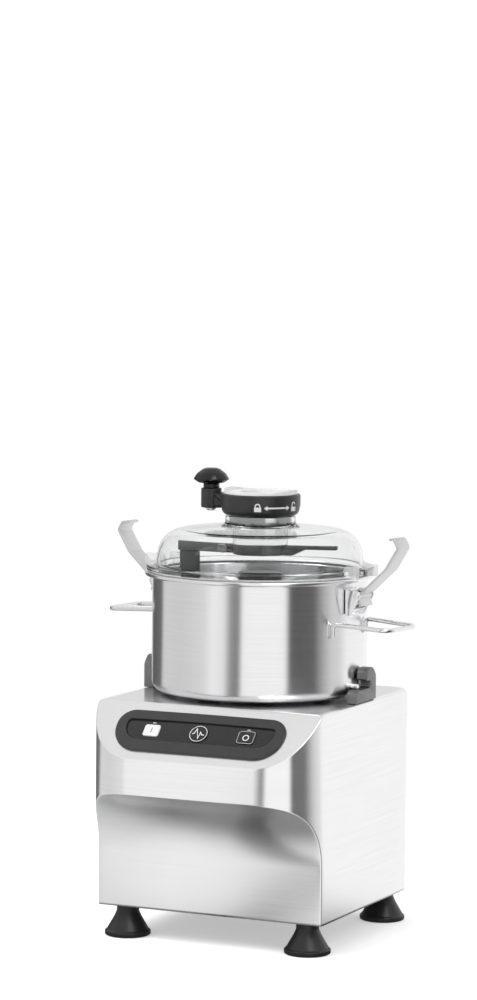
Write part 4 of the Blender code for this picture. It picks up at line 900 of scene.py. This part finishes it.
lid = {
    "skirt": 116.6,
    "wall": 3.0,
    "flange": 127.0,
    "flangeThick": 5.4,
    "domeRise": 45.5,
    "crownRise": 51.4,
    "neck": 39.2,
    "bush": 35.5,
    "lugAngle": 8.5,
    "lugHalf": 1.75,
    "lugOut": 14.0,
    "lugRise": 7.0,
}


def ramp01(value, low, high):  # 0 below low, 1 above high, 3t^2 - 2t^3 between
    t = np.clip((value - low) / (high - low), 0.0, 1.0)
    return t * t * (3.0 - 2.0 * t)


# The lid is a profile carried round the shaft, with more spokes at the four lugs beside the latches. There the
# flange is pushed out, and its top raised, by a share that goes from 0 to 1 across the lug's sides.
def makeLid():
    d = lid
    low, high = (corner[2] for corner in span("lid_dome"))
    neck, bush = d["neck"], d["bush"]
    flangeLow = rim + 2.0
    flangeTop = flangeLow + d["flangeThick"]
    crown = rim + d["crownRise"]
    domeTop = rim + d["domeRise"]
    edge = d["skirt"] - 5.1
    inner = d["skirt"] - d["wall"]
    profile = [(inner, low, 0.8), (d["skirt"], low, 0.8), (d["skirt"], flangeLow, 1.0), (d["flange"], flangeLow, 1.0)]
    profile += [(d["flange"], flangeTop, 1.4), (d["skirt"] + 6.2, flangeTop, 0.0), (d["skirt"] + 5.0, flangeTop, 0.0)]
    profile += [(d["skirt"] - 0.6, flangeTop, 2.5), (edge, domeTop, 30.0)]
    profile += [(neck, crown, 6.0), (neck, high, 1.0), (bush, high, 0.4), (bush, crown - 0.4, 0.0)]
    profile += [(bush - 2.5, crown - 0.4, 0.4), (bush - 2.5, crown - 3.0, 0.4)]
    profile += [(edge - 3.0, domeTop - 3.0, 27.0), (inner - 0.6, flangeTop - 1.0, 2.0)]
    line = bend(profile, 12, True)
    near = d["lugAngle"] + d["lugHalf"] * np.linspace(-1.5, 1.5, 19)
    near = np.concatenate([sign * near + side for sign in (1.0, -1.0) for side in (0.0, 180.0)])
    spokes = np.concatenate((np.linspace(0.0, 360.0, 180, endpoint=False), near))
    spokes = np.unique(np.round(np.mod(spokes, 360.0), 3))
    away = np.abs(np.abs(np.mod(spokes + 90.0, 180.0) - 90.0) - d["lugAngle"])
    lug = ramp01(-away, -d["lugHalf"] * 1.25, -d["lugHalf"] * 0.75)
    out = ramp01(line[:, 0], d["skirt"] + 5.0, d["flange"] - 1.5)[:, None] * d["lugOut"] * lug
    onTop = ramp01(line[:, 1], flangeTop - 1.6, flangeTop - 0.2) * (line[:, 1] < flangeTop + 0.01)
    lift = (onTop * ramp01(line[:, 0], d["skirt"] + 5.0, d["skirt"] + 6.2))[:, None] * d["lugRise"] * lug
    reach, angle = line[:, :1] + out, np.radians(spokes + bowlTurn)
    grid = np.stack((reach * np.cos(angle), reach * np.sin(angle), line[:, 1:] + lift), axis=-1)
    dome = addPiece("lidDome", [skin(grid, True, True)], "clearLid", "lid", ["lid_dome"], 50.0)
    dome.data.materials.append(finishes["clearLug"])
    onLug = (line[:, :1] > d["skirt"] + 4.0) & (lug > 0.02)
    onLug = onLug & np.roll(onLug, -1, 0) & np.roll(onLug, -1, 1)
    dome.data.polygons.foreach_set("material_index", onLug.ravel().astype(np.int32))
    sealIn, sealOut = d["skirt"] + 0.3, d["flange"] - 2.0
    seal = [(sealIn, rim + 0.3, 0.3), (sealOut, rim + 0.3, 0.5), (sealOut, rim + 1.7, 0.5), (sealIn, rim + 1.7, 0.3)]
    shell = lathe(bend(seal, 4, True), 160, True)
    addPiece("lidSeal", [shell], "sealSilicone", "lid", ["lid_seal"])
    low, high = crown - 0.1, high - 0.3
    bushIn, bushOut = bush - 4.5, bush - 0.3
    band = [(bushIn, low, 0.3), (bushOut, low, 0.4), (bushOut, high, 0.4), (bushIn, high, 0.3)]
    shell = lathe(bend(band, 4, True), 144, True)
    addPiece("neckBush", [shell], "bushSteel", "lid", ["neck_bush"])


makeLid()
print("lid made")


# Crank, knob, cap and scraper

crank = {
    "radius": 44.4,
    "ringHeight": 23.8,
    "ringRise": 29.7,
    "spigot": 30.6,
    "feed": 26.0,
    "knobReach": 62.5,
    "boss": 11.5,
    "webHalf": 8.2,
    "marksHeight": 11.6,
}


def onCrank(shell):
    return turned(shell, crankTurn)


def makeCrank():
    c = crank
    spigotLow = span("crank_ring")[0][2]
    low = spigotLow + c["ringRise"]
    high = low + c["ringHeight"]
    radius, knobReach = c["radius"], c["knobReach"]
    profile = [(c["feed"], low, 0.3), (radius - 2.5, low, 8.0), (radius, low + 12.0, 6.0), (radius, high, 1.2)]
    profile += [(radius - 4.0, high, 0.8), (radius - 4.2, high - 0.6, 0.4), (c["feed"], high - 0.6, 0.6)]
    shells = [lathe(bend(profile, 8, True), 160, True)]
    bossLow, bossHigh = low + 5.8, high + 4.0
    boss = [(3.3, bossLow + 5.5, 0.0), (0.3, bossLow + 5.5, 0.0), (0.3, bossLow, 0.0), (c["boss"], bossLow, 1.6)]
    boss += [(c["boss"], bossHigh, 1.2), (3.3, bossHigh, 0.3)]
    shells.append(moved(lathe(bend(boss, 6, True), 72, True), (knobReach, 0.0, 0.0)))
    web = [(38.5, low + 7.5, 1.0), (50.0, low + 6.0, 9.0), (knobReach - 4.0, bossLow + 1.0, 1.0)]
    web += [(knobReach - 4.0, high + 0.5, 1.0), (48.0, high - 1.2, 6.0), (38.5, high - 1.2, 1.0)]
    shells.append(moved(slab(bend(web, 8, True), -c["webHalf"], c["webHalf"], 2.0), turn=standing))
    shells = [onCrank(shell) for shell in shells]
    addPiece("crankRing", shells, "hubPlastic", "crank", ["crank_ring"], 40.0)
    spigotIn, spigotHigh = c["feed"] + 1.6, low + 0.4
    spigot = [(spigotIn, spigotLow, 0.3), (c["spigot"], spigotLow, 0.3)]
    spigot += [(c["spigot"], spigotHigh, 0.0), (spigotIn, spigotHigh, 0.0)]
    addPiece("crankSpigot", [lathe(bend(spigot, 4, True), 144, True)], "clearLid", "crank")
    makeCrankMarks(low + c["marksHeight"])
    stemLow = bossLow + 5.8
    stemHigh = span("knob_stem")[1][2]
    stem = lathe(bend([(0.2, stemLow, 0.0), (3.0, stemLow, 0.3), (3.0, stemHigh, 0.6), (0.2, stemHigh, 0.0)]), 40)
    coneLow, coneHigh = bossLow - 3.2, bossLow + 0.2
    cone = [(0.3, coneLow, 0.0), (4.4, coneLow, 0.8), (7.0, coneHigh, 1.0), (0.3, coneHigh, 0.0)]
    shells = [onCrank(moved(part, (knobReach, 0.0, 0.0))) for part in (stem, lathe(bend(cone), 48))]
    addPiece("knobStem", shells, "polishedSteel", "crank", ["knob_stem"])
    knobLow, knobHigh = (corner[2] for corner in span("knob"))
    boreHigh = stemHigh + 0.3
    knob = [(0.3, boreHigh, 0.0), (3.18, boreHigh, 0.0), (3.18, knobLow, 0.3), (9.2, knobLow, 0.8)]
    knob += [(8.8, knobLow + 4.6, 1.6), (15.0, knobLow + 5.8, 6.0), (20.4, knobLow + 9.6, 1.6)]
    knob += [(16.0, knobLow + 16.4, 12.0), (8.0, knobHigh - 0.4, 12.0), (0.3, knobHigh, 0.0)]
    shell = onCrank(moved(lathe(bend(knob, 10), 128), (knobReach, 0.0, 0.0)))
    addPiece("knob", [shell], "glossBlack", "knob", ["knob"], 60.0)


# Marks are laid out flat (along the rim, up, out of it) and wrapped: angle = along / radius.
def wrapped(shell, radius, start, level):
    points, faces = shell
    angle = math.radians(start) + points[:, 0] / radius
    reach = radius + points[:, 2]
    return np.column_stack((reach * np.cos(angle), reach * np.sin(angle), points[:, 1] + level)), faces


crankMarks = {"angle": -40.2, "spacing": 22.8, "arrow": 15.7, "line": 0.62}


def makeCrankMarks(level):
    m = crankMarks
    low, high = -0.3, 0.14
    shells = []
    for x, lift in ((-m["spacing"], 0.0), (m["spacing"], 1.2)):
        body = np.column_stack((np.linspace(x - 3.9, x + 3.9, 9), np.full(9, -2.2)))
        shells.append(ribbon(body, 2.5, low, high))
        turn = np.linspace(0.0, math.pi, 13)
        start = -0.6 if lift == 0.0 else 0.3
        arch = np.column_stack((x + 2.5 * np.cos(turn), 1.6 + lift + 2.3 * np.sin(turn)))
        foot = [(x + 2.5, start)] if lift == 0.0 else []
        line = np.vstack((foot + [tuple(arch[0])], arch[1:], [(x - 2.5, start - 0.4)]))
        shells.append(ribbon(line, m["line"], low, high))
    arrow = m["arrow"]
    shaftLine = np.column_stack((np.linspace(3.4 - arrow, arrow - 3.4, 15), np.full(15, -0.6)))
    shells.append(ribbon(shaftLine, 0.85, low, high))
    for side in (-1.0, 1.0):
        tip = np.column_stack((side * np.linspace(arrow, arrow - 4.0, 6), np.full(6, -0.6)))
        shells.append(ribbon(tip, np.linspace(0.05, 2.7, 6), low, high))
    wrappedMarks = [wrapped(shell, crank["radius"], m["angle"], level) for shell in shells]
    addPiece("crankMarks", wrappedMarks, "markWhite", "crank")


makeCrank()

cap = {"radius": 41.0, "rimRise": 5.6, "floor": 2.2, "scoop": 150.0, "plugDepth": 12.3}


# The cap's rim is scooped: its height above the cap's floor is scaled to reach R - sqrt(R^2 - x^2), a cylinder lying
# across the crank.
def makeCap():
    c = cap
    radius = c["radius"]
    plugLow = span("filler_cap")[0][2]
    low = plugLow + c["plugDepth"]
    floor, high = low + c["floor"], low + c["rimRise"]
    wall = np.linspace(low + 0.2, high, 12)
    outer = [(0.3, plugLow), (24.4, plugLow), (25.3, plugLow + 0.9)]
    outer += [(25.5, low - 0.2), (26.2, low), (radius - 0.5, low)]
    outer += [(radius, z) for z in wall]
    inner = [(radius - 0.5, high), (radius - 1.7, high)]
    inner += [(radius - 1.9, z) for z in wall[::-1] if z > floor]
    inner += [(radius - 2.6, floor), (23.6, floor), (23.0, plugLow + 2.6)]
    inner += [(22.4, plugLow + 2.0), (0.3, plugLow + 2.0)]
    points, faces = lathe(np.array(outer + inner), 160)
    bound = low + c["scoop"] - np.sqrt(c["scoop"] ** 2 - points[:, 0] ** 2)
    share = np.clip((points[:, 2] - floor) / (c["rimRise"] - c["floor"]), 0.0, 1.0)
    limit = np.clip(bound, floor + 0.7, high)
    points[:, 2] = np.minimum(points[:, 2], floor) + share * (limit - floor)
    addPiece("fillerCap", [onCrank((points, faces))], "capMilky", "filler_cap", ["filler_cap"], 40.0)


makeCap()

scraper = {"halfWidth": 4.0, "blade": 4.0, "tip": 115.0, "stepDrop": 21.5}


def makeScraper():
    low, high = (corner[2] for corner in span("scraper_arm"))
    eye = [(21.0, low, 0.4), (30.1, low, 0.8), (30.1, high, 0.8), (21.0, high, 0.4)]
    shells = [lathe(bend(eye, 4, True), 96, True)]
    half = scraper["halfWidth"]
    bar = bend([(24.0, low, 0.5), (103.5, low, 1.2), (103.5, high, 1.2), (24.0, high, 0.5)], 6, True)
    shells.append(moved(slab(bar, -half, half, 0.9), turn=standing))
    tail = [(-24.0, low, 0.5), (-24.0, high - 0.05, 0.5), (-95.0, high - 0.05, 1.0), (-95.0, high - 4.6, 1.6)]
    tail += [(-56.0, high - 4.8, 10.0), (-40.0, low, 6.0)]
    points, faces = moved(slab(bend(tail, 8, True), -half, half, 0.8), turn=standing)
    points[:, 1] *= np.interp(points[:, 0], (-95.0, -40.0), (0.62, 0.98))
    shells.append((points, faces))
    shells = [onCrank(shell) for shell in shells]
    addPiece("scraperArm", shells, "scraperPlastic", "crank", ["scraper_arm"], 40.0)
    step, tip = rim - scraper["stepDrop"], scraper["tip"]
    bladeLow = span("scraper_blade")[0][2]
    outline = [(81.0, high - 1.2, 1.2), (81.0, rim - 17.0, 3.0), (94.0, rim - 23.0, 3.0), (94.0, bladeLow, 0.8)]
    outline += [(tip, bladeLow, 0.8), (tip, step, 2.0), (105.5, step + 1.5, 2.0), (105.5, high - 1.2, 1.2)]
    near = half + 0.3
    blade = moved(slab(bend(outline, 6, True), near, near + scraper["blade"], 0.5), turn=standing)
    addPiece("scraperBlade", [onCrank(blade)], "scraperPlastic", "crank", ["scraper_blade"], 40.0)
    bolt = [(0.3, 0.0, 0.0), (6.5, 0.0, 0.3), (6.5, 3.6, 1.4), (3.6, 4.4, 0.6), (3.0, 3.0, 0.3), (0.3, 3.0, 0.0)]
    spot = (crank["spigot"] + 13.4, near, (low + high) / 2.0)
    shell = moved(lathe(bend(bolt, 5), 48), spot, (-90.0, 0.0, 0.0))
    addPiece("scraperBolt", [onCrank(shell)], "hookMetal", "crank", ["scraper_bolt"])


makeScraper()
print("crank, cap and scraper made")


# Parts that keep their own shape

keptFinishes = {
    "base_plate": "plateSteel",
    "motor_plate": "castAluminium",
    "upper_shield": "castAluminium",
    "lower_shield": "castAluminium",
    "stator": "laminations",
    "rotor": "laminations",
    "upper_bearing": "polishedSteel",
    "lower_bearing": "polishedSteel",
    "cooling_fan": "hubPlastic",
    "control_unit": "hubPlastic",
    "run_capacitor": "hubPlastic",
    "panel_board": "boardGreen",
}
for node, finish in keptFinishes.items():
    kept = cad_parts[node]
    for holder in kept.material_slots:
        holder.material = finishes[finish]


# Studio

studio = {
    "keyPower": 36.0,
    "fillPower": 15.0,
    "topPower": 7.0,
    "skyForSurfaces": 0.55,
    "floorColour": 0.86,
    "floorGlow": 0.42,
    # painted shade of the floor as gloss sees it, by distance from the machine
    "paintedFloorShade": [(0.0, 0.14), (0.175, 0.22), (0.245, 0.80), (0.33, 1.0)],
    "softbox": 3.6,
}


def areaLamp(name, spot, aim, size, power):
    data = bpy.data.lights.new(name, "AREA")
    data.shape = "RECTANGLE"
    data.size, data.size_y = size
    data.energy = power
    lamp = bpy.data.objects.new(name, data)
    lamp.location = spot
    lamp.rotation_euler = (Vector(aim) - Vector(spot)).to_track_quat("-Z", "Y").to_euler()
    lamp.visible_glossy = False
    bpy.context.scene.collection.objects.link(lamp)


areaLamp("keyLamp", (-1.1, -1.3, 1.9), (0.0, 0.0, 0.3), (1.6, 1.6), studio["keyPower"])
areaLamp("fillLamp", (1.6, -0.9, 1.1), (0.0, 0.0, 0.3), (1.4, 1.8), studio["fillPower"])
areaLamp("topLamp", (0.0, 0.3, 2.4), (0.0, 0.0, 0.3), (1.8, 1.8), studio["topPower"])


# The room is white to the camera and through clear parts. Gloss sees it with panels set round it: the panel list is
# (compass angle from the camera's side, brightness), and its brightness also changes with height.
roomPanels = [
    (-180, 0.82), (-166, 0.72), (-160, 0.10), (-130, 0.16), (-124, 0.70), (-90, 0.68), (-62, 0.76), (-50, 0.96),
    (-38, 0.86), (-31, 0.32), (-22, 0.20), (-18, 1.0), (27, 1.0), (32, 0.10), (60, 0.13), (74, 0.50), (84, 0.70),
    (92, 0.72), (108, 1.0), (165, 1.0), (180, 0.82),
]


def setStops(ramp, wanted):  # greys along a colour ramp, as (position, value)
    stops = ramp.color_ramp.elements
    while len(stops) < len(wanted):
        stops.new(0.5)
    for stop, (position, value) in zip(stops, wanted):
        stop.position = position
        stop.color = (value, value, value, 1.0)


def panelsRound(tree, direction):  # the panel list by the compass angle of a direction or place
    camX, camY = math.sin(math.radians(camera["azimuth"])), -math.cos(math.radians(camera["azimuth"]))
    toward = addNode(tree, "VectorMath", {0: direction, 1: (camX, camY, 0.0)}, operation="DOT_PRODUCT").outputs[1]
    right = addNode(tree, "VectorMath", {0: direction, 1: (-camY, camX, 0.0)}, operation="DOT_PRODUCT").outputs[1]
    angle = addNode(tree, "Math", {0: right, 1: toward}, operation="ARCTAN2").outputs[0]
    share = addNode(tree, "MapRange", {0: angle, 1: -math.pi, 2: math.pi, 3: 0.0, 4: 1.0}).outputs[0]
    ramp = addNode(tree, "ValToRGB", {0: share})
    setStops(ramp, [((degrees + 180.0) / 360.0, value) for degrees, value in roomPanels])
    return ramp.outputs[0], angle


def seenDirectly(tree, path):  # 1 for rays from the camera and through clear parts
    rays = {0: path.outputs["Is Camera Ray"], 1: path.outputs["Is Transmission Ray"]}
    return addNode(tree, "Math", rays, operation="MAXIMUM").outputs[0]


# The room's panels, with an even grey above them and one bright softbox high on the front right.
def makeRoom():
    world = bpy.data.worlds.new("studioRoom")
    bpy.context.scene.world = world
    world.use_nodes = True
    tree = world.node_tree
    tree.nodes.clear()
    direction = addNode(tree, "TexCoord").outputs["Generated"]
    panels, angle = panelsRound(tree, direction)
    height = addNode(tree, "SeparateXYZ", {0: direction}).outputs[2]
    upper = addNode(tree, "MapRange", {0: height, 1: 0.25, 2: 0.60, 3: 0.0, 4: 1.0}).outputs[0]
    panels = mixColours(tree, upper, panels, (0.80, 0.80, 0.80, 1.0))
    aside = addNode(tree, "Math", {0: angle, 1: math.radians(24.0)}, operation="SUBTRACT").outputs[0]
    aside = addNode(tree, "Math", {0: aside}, operation="ABSOLUTE").outputs[0]
    patch = addNode(tree, "MapRange", {0: aside, 1: 0.42, 2: 0.30, 3: 0.0, 4: 1.0}).outputs[0]
    above = addNode(tree, "MapRange", {0: height, 1: 0.58, 2: 0.64, 3: 0.0, 4: 1.0}).outputs[0]
    below = addNode(tree, "MapRange", {0: height, 1: 0.88, 2: 0.84, 3: 0.0, 4: 1.0}).outputs[0]
    patch = addNode(tree, "Math", {0: patch, 1: above}, operation="MULTIPLY").outputs[0]
    patch = addNode(tree, "Math", {0: patch, 1: below}, operation="MULTIPLY").outputs[0]
    bright, soft = studio["softbox"], studio["skyForSurfaces"]
    panels = mixColours(tree, patch, panels, (bright, bright, bright, 1.0))
    path = addNode(tree, "LightPath")
    base = mixColours(tree, path.outputs["Is Glossy Ray"], (soft, soft, soft, 1.0), panels)
    final = mixColours(tree, seenDirectly(tree, path), base, (1.0, 1.0, 1.0, 1.0))
    light = addNode(tree, "Background", {"Color": final, "Strength": 1.0})
    output = addNode(tree, "OutputWorld")
    tree.links.new(light.outputs[0], output.inputs[0])


# A round floor that fades into the white room. Gloss sees painted shade on it: dark under and near the machine, as
# the shaded table in front of it is, white further out, and with the room's panels painted round it as dark strips.
def makeFloor():
    material = bpy.data.materials.new("studioFloor")
    material.use_nodes = True
    tree = material.node_tree
    tree.nodes.clear()
    colour = studio["floorColour"]
    path = addNode(tree, "LightPath")
    place = addNode(tree, "TexCoord").outputs["Object"]
    # painted shade: the room's dark panels laid on the floor as strips, by the compass angle of each floor point,
    # seen only by gloss
    panels = panelsRound(tree, place)[0]
    # painted shade: darkest under the machine, lighter outwards to white, seen only by gloss
    distance = addNode(tree, "VectorMath", {0: place}, operation="LENGTH").outputs[1]
    share = addNode(tree, "Math", {0: distance, 1: 0.5}, operation="MULTIPLY").outputs[0]
    ramp = addNode(tree, "ValToRGB", {0: share})
    setStops(ramp, [(reach / 2.0, value) for reach, value in studio["paintedFloorShade"]])
    lit = addNode(tree, "BsdfDiffuse", {"Color": (colour, colour, colour, 1.0)})
    glow = {0: seenDirectly(tree, path), 1: studio["floorGlow"]}
    strength = addNode(tree, "Math", glow, operation="MULTIPLY").outputs[0]
    glow = addNode(tree, "Emission", {"Color": (1.0, 1.0, 1.0, 1.0), "Strength": strength})
    plain = addNode(tree, "AddShader", {0: lit.outputs[0], 1: glow.outputs[0]})
    # the painted shade glows as an emission that only gloss rays see
    paintedShadeForGloss = addNode(tree, "Emission", {"Color": panels, "Strength": ramp.outputs[0]})
    both = addNode(tree, "MixShader", {0: path.outputs["Is Glossy Ray"], 1: plain.outputs[0], 2: paintedShadeForGloss.outputs[0]})
    output = addNode(tree, "OutputMaterial")
    tree.links.new(both.outputs[0], output.inputs[0])
    mesh = bpy.data.meshes.new("studioFloor")
    outline = ring(1.7, 96)
    mesh.from_pydata(np.column_stack((outline, np.full(96, -0.0002))).tolist(), [], [list(range(96))])
    mesh.materials.append(material)
    floor = bpy.data.objects.new("studioFloor", mesh)
    bpy.context.scene.collection.objects.link(floor)


camera = {
    "azimuth": 25.076,
    "pitch": 4.56,
    "roll": 0.537,
    "distance": 3823.0,
    "lens": 123.64,
    "aimX": -24.676,
    "aimZ": 216.104,
    "baseLevel": 264.5,
}


def makeCamera():
    c = camera
    azimuth, pitch, roll = (math.radians(c[key]) for key in ("azimuth", "pitch", "roll"))
    ahead = Vector((-math.sin(azimuth) * math.cos(pitch), math.cos(azimuth) * math.cos(pitch), -math.sin(pitch)))
    right = Vector((math.cos(azimuth), math.sin(azimuth), 0.0))
    up = right.cross(ahead)
    across = math.cos(roll) * right + math.sin(roll) * up
    upright = -math.sin(roll) * right + math.cos(roll) * up
    target = right * c["aimX"] + Vector((0.0, shaftY, c["aimZ"] + c["baseLevel"]))
    spot = (target - ahead * c["distance"]) * mm
    data = bpy.data.cameras.new("productView")
    data.lens = c["lens"]
    data.sensor_width = 36.0
    data.clip_start, data.clip_end = 0.05, 30.0
    view = bpy.data.objects.new("productView", data)
    view.matrix_world = Matrix((
        (across.x, upright.x, -ahead.x, spot.x),
        (across.y, upright.y, -ahead.y, spot.y),
        (across.z, upright.z, -ahead.z, spot.z),
        (0.0, 0.0, 0.0, 1.0),
    ))
    bpy.context.scene.collection.objects.link(view)
    bpy.context.scene.camera = view


makeCamera()
makeFloor()
makeRoom()
bpy.context.scene.view_settings.view_transform = "Standard"
print("studio and camera made")
